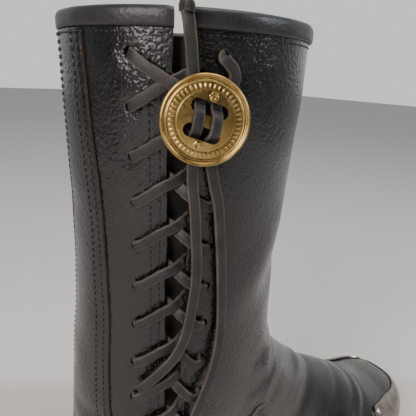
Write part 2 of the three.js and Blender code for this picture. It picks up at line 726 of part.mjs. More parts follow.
function makeConchoLoops() {
  const middle = rad(CONCHO_ANGLE - SLIT_ANGLE) * SHAFT_RADIUS;
  ["rear", "front"].forEach((name, k) => {
    const side = k === 0 ? -1 : 1;
    const places = CONCHO_LOOP.map(({ up, out }) => [
      middle + side * LOOP_APART + 0.11 * up,
      CONCHO_HEIGHT + up - 0.9 * side,
      CONCHO_STAND + out,
    ]);
    addPiece(`lace_loop_${name}`, strap(places, LACE_WIDTH - 0.5, LACE_THICKNESS), 0x26231f, 0.7);
  });
}

// The lace's loose ends, as points of their middle lines in millimetres. The two long ends hang down
// from the strips behind the concho. The short end is tied at the collar and runs down behind it.
const LACE_ENDS = {
  lace_end_rear: [
    [-3.7, -51.5, 280.2],
    [-3.5, -51.1, 275.5],
    [-3.1, -50.8, 270.5],
    [-2.4, -50.3, 263.5],
    [-0.9, -50.2, 254.6],
    [0.3, -49.8, 243.7],
    [1.6, -49.5, 231.7],
    [2, -49.1, 220.8],
    [1.4, -48.4, 210.8],
    [0, -47.7, 198.9],
    [-2.7, -47, 189],
    [-6.5, -45.6, 181.6],
    [-11.5, -42.7, 174.6],
    [-15.9, -39, 168.1],
    [-18.5, -35.9, 164.1],
  ],
  lace_end_front: [
    [1.7, -53.8, 278.4],
    [2.6, -53.7, 274.5],
    [4.1, -53.8, 269.5],
    [6.2, -53.4, 262.5],
    [8.9, -52.9, 254.6],
    [11.5, -51.7, 241.7],
    [13.5, -51, 228.8],
    [15.1, -50.6, 213.8],
    [16.3, -50.2, 196.9],
    [15.6, -50.1, 182],
    [12.8, -50.1, 169.9],
    [9, -49.8, 158.8],
    [5.5, -48.6, 147.8],
    [3.6, -47.8, 138.8],
    [2.7, -47.1, 129.7],
    [2.3, -46.3, 120.7],
  ],
  lace_end_top: [
    [-8.8, -52.6, 326.2],
    [-8.4, -53, 322.7],
    [-7.9, -53.1, 319.2],
    [-6.9, -52.6, 315.7],
    [-5.9, -52, 310.7],
    [-5.1, -51.7, 305.7],
    [-4.8, -51.5, 301.2],
  ],
};

// A flat cord: its section is turned so that it lies flat against the shaft where it starts.
function laceEnd(points) {
  const path = new THREE.CatmullRomCurve3(points.map(([x, y, z]) => new THREE.Vector3(x, y, z)));
  const steps = Math.round(path.getLength() / (2 * LACE_WIDTH)) + 6;
  const frames = path.computeFrenetFrames(steps, false);
  const start = points[0];
  const out = new THREE.Vector3(start[0] - SHAFT_AXIS, start[1], 0).normalize();
  const wide = frames.tangents[0].clone().cross(out).normalize();
  const turn = Math.atan2(wide.dot(frames.binormals[0]), wide.dot(frames.normals[0]));
  const outline = [];
  for (let k = 0; k < 8; k++) {
    const angle = ((k + 0.5) / 8) * 2 * Math.PI;
    const wideHalf = (Math.sign(Math.cos(angle)) * Math.abs(Math.cos(angle)) ** 0.4 * LACE_WIDTH) / 2;
    const flatHalf = (Math.sign(Math.sin(angle)) * Math.abs(Math.sin(angle)) ** 0.4 * LACE_THICKNESS) / 2;
    outline.push(new THREE.Vector2(wideHalf, flatHalf).rotateAround(new THREE.Vector2(), turn));
  }
  const options = { steps, extrudePath: path, bevelEnabled: false };
  return solidFrom(new THREE.ExtrudeGeometry(new THREE.Shape(outline), options));
}

function makeLaceEnds() {
  Object.entries(LACE_ENDS).forEach(([name, points]) => addPiece(name, laceEnd(points), 0x26231f, 0.7));
}

makeUpper();
makeCounter();
makeBackstay();
makeBinding();
makeGusset();
makeInsole();
makeWelt();
makeOutsole();
makeHeel();
makeToeGuard();
makeRivets();
makeCrossings();
makeConcho();
makeConchoLoops();
makeLaceEnds();

export default boot;
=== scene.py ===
import math
import bpy
import bmesh
import numpy as np
from mathutils import Matrix, Vector


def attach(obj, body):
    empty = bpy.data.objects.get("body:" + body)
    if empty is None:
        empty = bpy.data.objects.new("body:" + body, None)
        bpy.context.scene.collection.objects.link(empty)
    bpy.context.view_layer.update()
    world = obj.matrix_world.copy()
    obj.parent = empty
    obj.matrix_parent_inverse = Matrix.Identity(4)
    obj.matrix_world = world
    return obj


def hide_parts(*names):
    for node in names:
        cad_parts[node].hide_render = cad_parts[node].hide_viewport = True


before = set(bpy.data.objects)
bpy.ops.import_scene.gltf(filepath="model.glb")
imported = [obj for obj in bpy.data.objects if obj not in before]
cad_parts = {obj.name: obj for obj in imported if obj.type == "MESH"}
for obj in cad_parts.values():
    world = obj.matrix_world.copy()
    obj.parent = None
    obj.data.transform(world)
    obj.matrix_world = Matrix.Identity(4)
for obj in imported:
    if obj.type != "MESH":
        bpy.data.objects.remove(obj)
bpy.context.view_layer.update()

# Sizes in millimetres, as in the part.
FOOT_LENGTH = 306
HEEL_BACK = -38
BOOT_HEIGHT = 328
BALL_WIDTH = 104
HEEL_HEIGHT = 40
SOLE_THICKNESS = 12
TOE_SPRING = 12
GAP = 0.3
WALL = 2.2
OVERLAY = 1.6
BINDING_HEIGHT = 7.2
BINDING_LEATHER = 1.5
WELT = 4
WELT_MARGIN = 4
WELT_BAND = 12
HEEL_CAP = 8
HEEL_BREAST = 34
HEEL_TAPER = 0.93
HEEL_CENTRE = -2
SHAFT_AXIS = 25
SHAFT_RADIUS = 51
SLIT_ANGLE = 55.3
SLIT_BOTTOM = 124
HOLE_TOP = BOOT_HEIGHT - 16
HOLE_STEP = 19.4
HOLE_PAIRS = 10
HOLE_RADIUS = 2.3
HOLE_BACK = 17.5
HOLE_FRONT = 14.5
LACE_WIDTH = 4.6
LACE_THICKNESS = 1.8
LACE_RISE = 13.5
CONCHO_RADIUS = 16.8
CONCHO_PLATE = 1.6
CONCHO_DOME = 1.2
CONCHO_ANGLE = 64.3
CONCHO_HEIGHT = 289.5
CONCHO_STAND = 6.4
CONCHO_TURN = -17
SLOT_LENGTH = 14.2
SLOT_WIDTH = 5
SLOT_SPACING = 9.2
LOOP_APART = 2.6
GUARD_PLATE = 1.2
GUARD_BACK = 186
GUARD_TOP = 48.5
GUARD_TIP = 34
RIVET_X = 201
RIVET_Z = 43
RIVET_RADIUS = 2.3
COLLAR_EDGE = BOOT_HEIGHT - BINDING_LEATHER - GAP

# Columns: rearX, rearZ, frontX, frontZ, outer, inner, shift, lean, widest, crown, base.
SECTIONS = np.array([
    [0.016, 1.0, 0.39, 1.0, 0.549, 0.549, 0, 0, 0.5, 2, 2],
    [0.021, 0.884, 0.392, 0.884, 0.524, 0.524, 0, 0, 0.5, 2, 2],
    [0.028, 0.747, 0.383, 0.747, 0.479, 0.479, 0, 0, 0.5, 2, 2],
    [0.026, 0.61, 0.383, 0.61, 0.455, 0.455, 0, 0, 0.5, 2, 2],
    [0.016, 0.503, 0.388, 0.508, 0.448, 0.448, 0, 0, 0.5, 2, 2],
    [0.01, 0.399, 0.416, 0.452, 0.44, 0.43, 0, 0.01, 0.5, 2, 2.1],
    [0.003, 0.293, 0.455, 0.404, 0.425, 0.41, 0, 0.03, 0.48, 2, 2.2],
    [0, 0.207, 0.5, 0.362, 0.41, 0.4, 0, 0.05, 0.46, 2, 2.3],
    [0.004, 0.139, 0.545, 0.326, 0.405, 0.39, 0, 0.06, 0.44, 2, 2.4],
    [0.046, 0.091, 0.584, 0.297, 0.405, 0.385, 0, 0.06, 0.4, 2, 2.6],
    [0.163, 0.084, 0.628, 0.27, 0.41, 0.38, 0, 0.06, 0.36, 2, 2.8],
    [0.294, 0.073, 0.676, 0.245, 0.425, 0.385, 0, 0.06, 0.32, 2, 3],
    [0.425, 0.051, 0.728, 0.218, 0.46, 0.415, 0, 0.05, 0.28, 2, 3],
    [0.549, 0.026, 0.78, 0.188, 0.5, 0.45, 0.005, 0.02, 0.25, 2, 3],
    [0.66, 0.014, 0.829, 0.161, 0.51, 0.47, 0.01, 0, 0.25, 2, 3],
    [0.758, 0.014, 0.875, 0.143, 0.475, 0.445, 0.015, 0, 0.27, 2.05, 3],
    [0.843, 0.027, 0.917, 0.132, 0.415, 0.395, 0.02, 0, 0.31, 2.1, 2.8],
    [0.915, 0.04, 0.953, 0.121, 0.33, 0.325, 0.03, 0, 0.38, 2.2, 2.6],
    [0.965, 0.053, 0.979, 0.11, 0.22, 0.22, 0.035, 0, 0.43, 2.2, 2.3],
    [0.99, 0.066, 0.993, 0.093, 0.09, 0.09, 0.035, 0, 0.5, 2, 2],
])
LAST = len(SECTIONS) - 1


# The form of the upper, as functions of a place along the table and an angle round the section.
def section(place):
    place = np.clip(np.asarray(place, float), 0, LAST)
    row = np.minimum(np.floor(place).astype(int), LAST - 1)
    rest = (place - row)[..., None]
    a, b, c, d = (SECTIONS[np.clip(row + k, 0, LAST)] for k in (-1, 0, 1, 2))
    slope_b = (c - a) / 2
    slope_c = (d - b) / 2
    bend = 3 * (c - b) - 2 * slope_b - slope_c
    twist = 2 * (b - c) + slope_b + slope_c
    return b + rest * (slope_b + rest * (bend + rest * twist))


def face(place, angle):
    place, angle = np.broadcast_arrays(np.asarray(place, float), np.asarray(angle, float))
    s = section(place)
    lift = np.maximum(-place, 0) * BOOT_HEIGHT
    rear = np.stack([HEEL_BACK + s[..., 0] * FOOT_LENGTH, 0 * place, s[..., 1] * BOOT_HEIGHT + lift], -1)
    front = np.stack([HEEL_BACK + s[..., 2] * FOOT_LENGTH, 0 * place, s[..., 3] * BOOT_HEIGHT + lift], -1)
    c = np.cos(angle)
    power = 2 / np.where(c > 0, s[..., 10], s[..., 9])
    reach = np.abs(c) ** power
    widest = s[..., 8]
    along = np.where(c > 0, widest * (1 - reach), widest + (1 - widest) * reach)
    across = np.abs(np.sin(angle)) ** power
    side = np.where(np.sin(angle) > 0, -s[..., 4] * across, s[..., 5] * across)
    point = rear + (front - rear) * along[..., None]
    point[..., 1] += (side + s[..., 6] + s[..., 7] * along) * BALL_WIDTH
    return point


def unit(v):
    return v / np.maximum(np.linalg.norm(v, axis=-1, keepdims=True), 1e-12)


def face_normal(place, angle):
    step = 0.02
    down = face(np.add(place, step), angle) - face(np.subtract(place, step), angle)
    around = face(place, np.add(angle, step)) - face(place, np.subtract(angle, step))
    return unit(np.cross(down, around))


def offset(place, angle, distance):
    n = face_normal(place, angle)
    return face(place, angle) + n * np.asarray(distance, float)[..., None]


def smooth_step(low, high, value):
    t = np.clip((value - low) / (high - low), 0, 1)
    return t * t * (3 - 2 * t)


def feather(x):
    share = (np.asarray(x, float) - HEEL_BACK) / FOOT_LENGTH
    heel = (HEEL_HEIGHT - SOLE_THICKNESS) * (1 - smooth_step(0.16, 0.62, share))
    toe = TOE_SPRING * (np.maximum(share - 0.76, 0) / 0.24) ** 1.6
    return SOLE_THICKNESS + heel + toe


def place_at(angle, height):
    angle, height = np.broadcast_arrays(np.asarray(angle, float), np.asarray(height, float))
    low = np.full(angle.shape, -0.05)
    high = np.full(angle.shape, 9.5)
    for _ in range(26):
        middle = (low + high) / 2
        above = face(middle, angle)[..., 2] > height
        low = np.where(above, middle, low)
        high = np.where(above, high, middle)
    return (low + high) / 2


def shaft_place(degrees, height):
    degrees, height = np.broadcast_arrays(np.asarray(degrees, float), np.asarray(height, float))
    target = np.radians(degrees)
    angle = target.copy()
    for _ in range(12):
        place = place_at(angle, height)
        p = face(place, angle)
        miss = target - np.arctan2(-p[..., 1], SHAFT_AXIS - p[..., 0])
        angle = angle + np.arctan2(np.sin(miss), np.cos(miss))
    return place_at(angle, height), angle


def shaft_point(across, height, out):
    place, angle = shaft_place(SLIT_ANGLE + np.degrees(np.asarray(across, float) / SHAFT_RADIUS), height)
    n = face_normal(place, angle)
    return face(place, angle) + n * np.asarray(out, float)[..., None], n


def slit_half(height):
    up = (np.asarray(height, float) - SLIT_BOTTOM) / (BOOT_HEIGHT - SLIT_BOTTOM)
    return np.interp(up, [0, 0.015, 0.18, 0.45, 0.72, 0.89, 0.97, 1.05], [1.2, 2.4, 3.6, 4.4, 4.3, 3.6, 2.6, 2.4])


# Folds and creases: places round from the slit and heights, how deep and how wide each is.
# A positive depth is a ridge.
FOLDS = [
    {"run": [(84, 262), (72, 244), (58, 226), (44, 212), (30, 202)], "depth": 1.5, "width": 13},
    {"run": [(92, 240), (78, 222), (62, 204), (46, 190)], "depth": -1.2, "width": 12},
    {"run": [(28, 296), (40, 282), (56, 272)], "depth": 0.6, "width": 14},
    {"run": [(-24, 130), (-42, 122), (-58, 124)], "depth": -1.1, "width": 5},
    {"run": [(-22, 145), (-38, 139), (-54, 140)], "depth": -0.8, "width": 5},
    {"run": [(-20, 116), (-36, 109), (-54, 112)], "depth": 0.8, "width": 5},
    {"run": [(60, 150), (82, 140), (104, 148)], "depth": -1.6, "width": 7},
    {"run": [(56, 162), (80, 156), (106, 164)], "depth": 1.0, "width": 7},
    {"run": [(58, 132), (80, 121), (102, 130)], "depth": -1.3, "width": 6},
    {"run": [(150, 150), (180, 138), (205, 146)], "depth": -1.1, "width": 7},
    {"run": [(190, 240), (214, 222), (236, 214)], "depth": 1.0, "width": 14},
    {"run": [(150, 284), (178, 276), (204, 282)], "depth": 0.7, "width": 15},
    {"run": [(-34, 236), (-38, 200), (-34, 168)], "depth": 0.7, "width": 9},
]

# Flexing creases over the vamp: place along the foot, angle round the section, depth and width.
VAMP_FOLDS = [
    {"run": [(12.1, 118), (12.5, 150), (12.6, 180), (12.4, 212), (12.0, 240)], "depth": -0.9, "width": 3.5},
    {"run": [(12.7, 112), (13.1, 146), (13.25, 180), (13.0, 214), (12.7, 246)], "depth": -0.8, "width": 3},
    {"run": [(12.35, 115), (12.8, 148), (12.95, 180), (12.7, 213), (12.3, 243)], "depth": 0.5, "width": 3},
    {"run": [(11.2, 122), (11.5, 150), (11.6, 180), (11.4, 212)], "depth": -0.6, "width": 4},
    {"run": [(9.2, 128), (9.4, 158), (9.4, 188), (9.2, 216)], "depth": -1.0, "width": 6},
    {"run": [(8.2, 122), (8.3, 150), (8.3, 180), (8.2, 212)], "depth": 0.7, "width": 6},
]


def fold_curves():
    curves = []
    for fold in FOLDS:
        run = np.array(fold["run"], float)
        t = np.linspace(0, len(run) - 1, 8 * len(run))
        across = np.interp(t, range(len(run)), run[:, 0])
        height = np.interp(t, range(len(run)), run[:, 1])
        curves.append((shaft_point(across, height, 0 * across)[0], fold["depth"], fold["width"]))
    for fold in VAMP_FOLDS:
        run = np.array(fold["run"], float)
        t = np.linspace(0, len(run) - 1, 8 * len(run))
        place = np.interp(t, range(len(run)), run[:, 0])
        angle = np.radians(np.interp(t, range(len(run)), run[:, 1]))
        curves.append((face(place, angle), fold["depth"], fold["width"]))
    return curves


CURVES = fold_curves()
HOLE_HEIGHTS = [HOLE_TOP - k * HOLE_STEP for k in range(HOLE_PAIRS)]
HOLE_POINTS = np.concatenate([
    shaft_point(np.full(HOLE_PAIRS, -HOLE_BACK), np.array(HOLE_HEIGHTS), np.zeros(HOLE_PAIRS))[0],
    shaft_point(np.full(HOLE_PAIRS, HOLE_FRONT), np.array(HOLE_HEIGHTS), np.zeros(HOLE_PAIRS))[0],
])


# How far the leather stands from its plain form at points: folds, dimples at the holes, slow unevenness.
def relief(points):
    flat = points.reshape(-1, 3)
    total = np.zeros(len(flat))
    for curve, depth, width in CURVES:
        best = np.full(len(flat), 1e9)
        for k, q in enumerate(curve):
            fade = math.sin(math.pi * (k + 0.5) / len(curve)) ** 0.5
            near = ((flat - q) ** 2).sum(1) / width ** 2 - math.log(max(fade, 0.05))
            best = np.minimum(best, near)
        total += depth * np.exp(-best)
    for q in HOLE_POINTS:
        near = ((flat - q) ** 2).sum(1)
        total -= 0.5 * np.exp(-near / 3.6 ** 2)
        total += 0.16 * np.exp(-((np.sqrt(near) - 6.5) / 2.2) ** 2)
    x, y, z = flat.T
    total += 0.28 * np.sin(x / 13 + 0.7 * np.sin(z / 19)) * np.sin(z / 24 + y / 17)
    total += 0.16 * np.sin(x / 7.1 + z / 9.3) * np.sin(z / 11.7 - y / 8.4 + 1.3)
    keep = smooth_step(BOOT_HEIGHT - 4, BOOT_HEIGHT - 22, flat[:, 2]) * smooth_step(1, 10, flat[:, 2] - feather(flat[:, 0]))
    keep *= 1 - 0.75 * smooth_step(196, 226, flat[:, 0])
    return (np.clip(total, -2.2, 1.7) * keep).reshape(points.shape[:-1])


# Meshes.
def new_object(name, points, faces, material_list=(), faces_material=None, smooth=True):
    mesh = bpy.data.meshes.new(name)
    mesh.from_pydata((np.asarray(points, float).reshape(-1, 3) / 1000).tolist(), [], faces)
    mesh.update()
    obj = bpy.data.objects.new(name, mesh)
    bpy.context.scene.collection.objects.link(obj)
    for m in material_list:
        mesh.materials.append(m)
    if faces_material is not None:
        mesh.polygons.foreach_set("material_index", faces_material)
    if smooth:
        mesh.polygons.foreach_set("use_smooth", [True] * len(mesh.polygons))
    return obj


def outward(obj):
    bm = bmesh.new()
    bm.from_mesh(obj.data)
    bmesh.ops.remove_doubles(bm, verts=bm.verts, dist=1e-6)
    bmesh.ops.recalc_face_normals(bm, faces=bm.faces)
    bm.to_mesh(obj.data)
    bm.free()
    return obj


def grid_faces(rows, columns, wrap=False, start=0):
    r = np.arange(rows - 1)[:, None]
    c = np.arange(columns if wrap else columns - 1)[None, :]
    a = start + r * columns + c
    b = start + r * columns + (c + 1) % columns
    return np.stack([a, b, b + columns, a + columns], -1).reshape(-1, 4).tolist()


# A closed tube through rings of equal length, or a closed ring where looped is true.
def tube(name, rings, materials, looped=False, ring_material=None):
    rings = np.asarray(rings, float)
    rows, columns = rings.shape[:2]
    faces = grid_faces(rows, columns, wrap=True)
    if looped:
        faces += [
            [(rows - 1) * columns + i, (rows - 1) * columns + (i + 1) % columns, (i + 1) % columns, i]
            for i in range(columns)
        ]
    index = None
    if ring_material is not None:
        index = [ring_material[k % columns] for k in range(len(faces))]
    if not looped:
        faces += [list(range(columns))[::-1], [(rows - 1) * columns + i for i in range(columns)]]
        if index is not None:
            index += [ring_material[0], ring_material[0]]
    obj = new_object(name, rings, faces, materials, index)
    return obj


def sharpen(obj, degrees=38):
    obj.data.set_sharp_from_angle(angle=math.radians(degrees))
    return obj


def boolean(obj, cutter, operation="DIFFERENCE"):
    mod = obj.modifiers.new("cut", "BOOLEAN")
    mod.operation = operation
    mod.solver = "MANIFOLD"
    mod.object = cutter
    if hasattr(mod, "material_mode"):
        mod.material_mode = "TRANSFER"
    bpy.context.view_layer.update()
    graph = bpy.context.evaluated_depsgraph_get()
    mesh = bpy.data.meshes.new_from_object(obj.evaluated_get(graph))
    obj.modifiers.clear()
    old = obj.data
    obj.data = mesh
    bpy.data.meshes.remove(old)
    bpy.data.objects.remove(cutter, do_unlink=True)
    return obj


def join_meshes(name, parts, materials):
    points = []
    faces = []
    for p, f in parts:
        start = len(points)
        points += p
        faces += [[start + i for i in face_] for face_ in f]
    return new_object(name, points, faces, materials)


def spline(points, count):
    points = np.asarray(points, float)
    n = len(points)
    ext = np.vstack([2 * points[0] - points[1], points, 2 * points[-1] - points[-2]])
    t = np.linspace(0, n - 1, count)
    k = np.minimum(t.astype(int), n - 2)
    u = (t - k)[:, None]
    p0, p1, p2, p3 = ext[k], ext[k + 1], ext[k + 2], ext[k + 3]
    return 0.5 * (2 * p1 + (p2 - p0) * u + (2 * p0 - 5 * p1 + 4 * p2 - p3) * u ** 2 + (3 * p1 - p0 - 3 * p2 + p3) * u ** 3)


# The section of a flat strip, as offsets across and out, with which corners show the raw edge.
def strip_section(width, thickness, corners=3):
    r = thickness * 0.34
    ring = []
    for sx, sy, start in ((1, 1, 0), (-1, 1, 90), (-1, -1, 180), (1, -1, 270)):
        for k in range(corners):
            a = math.radians(start + 90 * k / (corners - 1))
            ring.append((sx * (width / 2 - r) + r * math.cos(a), sy * (thickness / 2 - r) + r * math.sin(a)))
    edge = [1 if abs((a[0] + b[0]) / 2) > width / 2 - r * 0.9 else 0 for a, b in zip(ring, ring[1:] + ring[:1])]
    return ring, edge


def strip_rings(path, normals, width, thickness, swell=None):
    path = np.asarray(path, float)
    along = unit(np.gradient(path, axis=0))
    across = unit(np.cross(along, normals))
    out = unit(np.cross(across, along))
    ring, edge = strip_section(width, thickness)
    rings = []
    for k in range(len(path)):
        w = 1 if swell is None else swell[k]
        rings.append([path[k] + a * w * across[k] + b * out[k] for a, b in ring])
    return rings, edge


# Materials.
def principled(name, color, roughness, metallic=0.0, coat=0.0, coat_roughness=0.1, specular=0.5, sheen=0.0):
    m = bpy.data.materials.new(name)
    m.use_nodes = True
    shader = m.node_tree.nodes["Principled BSDF"]
    shader.inputs["Base Color"].default_value = (*color, 1)
    shader.inputs["Roughness"].default_value = roughness
    shader.inputs["Metallic"].default_value = metallic
    shader.inputs["Coat Weight"].default_value = coat
    shader.inputs["Coat Roughness"].default_value = coat_roughness
    shader.inputs["Specular IOR Level"].default_value = specular
    shader.inputs["Sheen Weight"].default_value = sheen
    return m, shader


def node(m, kind, **values):
    n = m.node_tree.nodes.new(kind)
    for key, value in values.items():
        if key in n.inputs:
            n.inputs[key].default_value = value
        else:
            setattr(n, key, value)
    return n


def link(m, a, b):
    m.node_tree.links.new(a, b)


def object_coords(m):
    return node(m, "ShaderNodeTexCoord").outputs["Object"]


def noise(m, coords, scale, detail=4.0, rough=0.55):
    n = node(m, "ShaderNodeTexNoise", Scale=scale, Detail=detail, Roughness=rough)
    link(m, coords, n.inputs["Vector"])
    return n.outputs["Fac"]


def ramp(m, fac, stops):
    n = node(m, "ShaderNodeValToRGB")
    e = n.color_ramp.elements
    e[0].position, e[0].color = stops[0][0], (*stops[0][1], 1)
    e[1].position, e[1].color = stops[-1][0], (*stops[-1][1], 1)
    for position, color in stops[1:-1]:
        s = e.new(position)
        s.color = (*color, 1)
    link(m, fac, n.inputs["Fac"])
    return n.outputs["Color"]


def scale_range(m, fac, low, high, from_low=0.3, from_high=0.7):
    n = node(m, "ShaderNodeMapRange")
    for key, value in (("From Min", from_low), ("From Max", from_high), ("To Min", low), ("To Max", high)):
        n.inputs[key].default_value = value
    link(m, fac, n.inputs["Value"])
    return n.outputs["Result"]


def bumps(m, shader, layers, coat=False):
    last = None
    for height, strength, distance in layers:
        b = node(m, "ShaderNodeBump", Strength=strength, Distance=distance)
        link(m, height, b.inputs["Height"])
        if last is not None:
            link(m, last, b.inputs["Normal"])
        last = b.outputs["Normal"]
    link(m, last, shader.inputs["Normal"])
    if coat:
        link(m, last, shader.inputs["Coat Normal"])


def leather(name, dark, light, rough=(0.2, 0.36), coat=0.25, grain=1.0, coat_roughness=0.14):
    m, shader = principled(name, dark, 0.4, coat=coat, coat_roughness=coat_roughness, specular=0.5)
    coords = object_coords(m)
    warp = node(m, "ShaderNodeTexNoise", Scale=260.0, Detail=2.0)
    link(m, coords, warp.inputs["Vector"])
    mix = node(m, "ShaderNodeVectorMath", operation="MULTIPLY_ADD")
    mix.inputs[1].default_value = (0.0016, 0.0016, 0.0016)
    link(m, warp.outputs["Color"], mix.inputs[0])
    link(m, coords, mix.inputs[2])
    cells = node(m, "ShaderNodeTexVoronoi", Scale=760.0)
    cells.feature = "SMOOTH_F1"
    link(m, mix.outputs["Vector"], cells.inputs["Vector"])
    fine = noise(m, coords, 2300.0, 3.0)
    wrinkle = noise(m, mix.outputs["Vector"], 330.0, 3.0, 0.6)
    slow = noise(m, coords, 55.0, 3.0)
    link(m, ramp(m, slow, [(0.35, dark), (0.7, light)]), shader.inputs["Base Color"])
    link(m, scale_range(m, slow, rough[0], rough[1]), shader.inputs["Roughness"])
    bumps(m, shader, [
        (wrinkle, 0.35 * grain, 0.0006),
        (cells.outputs["Distance"], 0.42 * grain, 0.0005),
        (fine, 0.16 * grain, 0.0002),
    ], coat=True)
    return m


def plain_leather(name, dark, light, roughness, grain=0.3):
    m, shader = principled(name, dark, roughness)
    coords = object_coords(m)
    streak = noise(m, coords, 420.0, 5.0, 0.65)
    slow = noise(m, coords, 90.0, 3.0)
    link(m, ramp(m, slow, [(0.3, dark), (0.72, light)]), shader.inputs["Base Color"])
    link(m, scale_range(m, streak, roughness - 0.08, roughness + 0.1), shader.inputs["Roughness"])
    bumps(m, shader, [(streak, grain, 0.0004), (noise(m, coords, 1700.0, 3.0), grain * 0.6, 0.0002)])
    return m


M = {}
M["upper"] = leather("boot_leather", (0.0035, 0.0037, 0.0042), (0.007, 0.0072, 0.008))
M["overlay"] = leather("overlay_leather", (0.0033, 0.0035, 0.004), (0.0065, 0.0067, 0.0073), rough=(0.24, 0.38))
M["vamp"] = leather("vamp_leather", (0.0035, 0.004, 0.0048), (0.006, 0.0065, 0.0075), rough=(0.24, 0.34), coat=0.35,
                    grain=0.45, coat_roughness=0.16)
M["binding"] = leather("binding_leather", (0.010, 0.0105, 0.0115), (0.018, 0.0185, 0.02), rough=(0.4, 0.55), coat=0.12,
                       grain=0.55)
M["inside"] = plain_leather("lining_leather", (0.020, 0.017, 0.014), (0.032, 0.027, 0.022), 0.75)
M["edge"] = plain_leather("raw_edge", (0.075, 0.055, 0.04), (0.14, 0.105, 0.078), 0.8)
M["gusset"] = plain_leather("gusset_leather", (0.008, 0.008, 0.009), (0.014, 0.014, 0.015), 0.6)
M["lace"] = plain_leather("lace_leather", (0.010, 0.010, 0.0105), (0.024, 0.023, 0.023), 0.5, 0.5)
M["lace_edge"] = plain_leather("lace_raw_edge", (0.05, 0.038, 0.03), (0.105, 0.085, 0.07), 0.75, 0.4)
M["thread"] = plain_leather("thread", (0.011, 0.011, 0.012), (0.024, 0.024, 0.026), 0.45, 0.2)
M["hole"] = plain_leather("hole_side", (0.006, 0.006, 0.006), (0.012, 0.011, 0.01), 0.8)
M["insole"] = plain_leather("insole_leather", (0.16, 0.10, 0.055), (0.25, 0.165, 0.10), 0.65)
M["sole"] = plain_leather("sole_edge", (0.013, 0.011, 0.010), (0.026, 0.022, 0.019), 0.5, 0.35)
M["rubber"] = plain_leather("sole_rubber", (0.012, 0.012, 0.012), (0.022, 0.022, 0.022), 0.72, 0.45)


def metal(name, tones, roughness, scratch=0.12, spots=0.0):
    m, shader = principled(name, tones[1], roughness, metallic=1.0)
    coords = object_coords(m)
    slow = noise(m, coords, 130.0, 5.0, 0.6)
    fine = noise(m, coords, 900.0, 4.0, 0.7)
    link(m, ramp(m, slow, [(0.3, tones[0]), (0.52, tones[1]), (0.72, tones[2])]), shader.inputs["Base Color"])
    link(m, scale_range(m, fine, roughness - 0.06, roughness + 0.12), shader.inputs["Roughness"])
    bumps(m, shader, [(fine, scratch, 0.0001), (slow, scratch, 0.0003)])
    return m


M["guard"] = metal("guard_metal", ((0.20, 0.17, 0.15), (0.33, 0.29, 0.265), (0.42, 0.38, 0.355)), 0.2, 0.08)
M["rivet"] = metal("rivet_metal", ((0.62, 0.62, 0.62), (0.75, 0.75, 0.76), (0.85, 0.85, 0.86)), 0.2, 0.05)
M["brass"] = metal("concho_brass", ((0.24, 0.15, 0.045), (0.42, 0.28, 0.095), (0.58, 0.41, 0.17)), 0.3, 0.12)
M["brass_dark"] = metal("concho_brass_dark", ((0.16, 0.085, 0.03), (0.26, 0.15, 0.06), (0.36, 0.22, 0.10)), 0.42, 0.15)


# Camera, at the photograph's angle.
def camera_at():
    yaw = math.radians(-36)
    pitch = math.radians(17.5)
    roll = math.radians(3)
    right = Vector((math.cos(yaw), math.sin(yaw), 0))
    level = Vector((-math.sin(yaw), math.cos(yaw), 0))
    forward = level * math.cos(pitch) - Vector((0, 0, math.sin(pitch)))
    up = right.cross(forward)
    side = right * math.cos(roll) + up * math.sin(roll)
    top = up * math.cos(roll) - right * math.sin(roll)
    data = bpy.data.cameras.new("camera")
    data.sensor_width = 36
    data.lens = 36 * 426 / 416
    data.clip_start = 0.01
    cam = bpy.data.objects.new("camera", data)
    turn = Matrix((side, top, -forward)).transposed().to_4x4()
    cam.matrix_world = Matrix.Translation((-0.092, -0.1845, 0.306)) @ turn
    bpy.context.scene.collection.objects.link(cam)
    bpy.context.scene.camera = cam


camera_at()

# The lace's loose ends, with the same points as in the part.
LACE_ENDS = {
    "lace_end_rear": [
        (-3.7, -51.5, 280.2), (-3.5, -51.1, 275.5), (-3.1, -50.8, 270.5), (-2.4, -50.3, 263.5),
        (-0.9, -50.2, 254.6), (0.3, -49.8, 243.7), (1.6, -49.5, 231.7), (2, -49.1, 220.8),
        (1.4, -48.4, 210.8), (0, -47.7, 198.9), (-2.7, -47, 189), (-6.5, -45.6, 181.6),
        (-11.5, -42.7, 174.6), (-15.9, -39, 168.1), (-18.5, -35.9, 164.1),
    ],
    "lace_end_front": [
        (1.7, -53.8, 278.4), (2.6, -53.7, 274.5), (4.1, -53.8, 269.5), (6.2, -53.4, 262.5),
        (8.9, -52.9, 254.6), (11.5, -51.7, 241.7), (13.5, -51, 228.8), (15.1, -50.6, 213.8),
        (16.3, -50.2, 196.9), (15.6, -50.1, 182), (12.8, -50.1, 169.9), (9, -49.8, 158.8),
        (5.5, -48.6, 147.8), (3.6, -47.8, 138.8), (2.7, -47.1, 129.7), (2.3, -46.3, 120.7),
    ],
    "lace_end_top": [
        (-9.2, -51.8, 328.3), (-8.4, -53, 322.7), (-7.9, -53.1, 319.2), (-6.9, -52.6, 315.7),
        (-5.9, -52, 310.7), (-5.1, -51.7, 305.7), (-4.7, -51.3, 298.6),
    ],
}


def lace_ends():
    for name, points in LACE_ENDS.items():
        count = 12 * len(points)
        path = spline(points, count)
        out = unit(path - np.array([SHAFT_AXIS, 0, 0]) * [1, 0, 0] - np.outer(path[:, 2], [0, 0, 1]))
        rings, edge = strip_rings(path, out, LACE_WIDTH, LACE_THICKNESS)
        piece = tube(f"{name}_strip", rings, [M["lace"], M["lace_edge"]], ring_material=edge)
        sharpen(outward(piece), 50)
        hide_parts(name)
        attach(piece, "root")


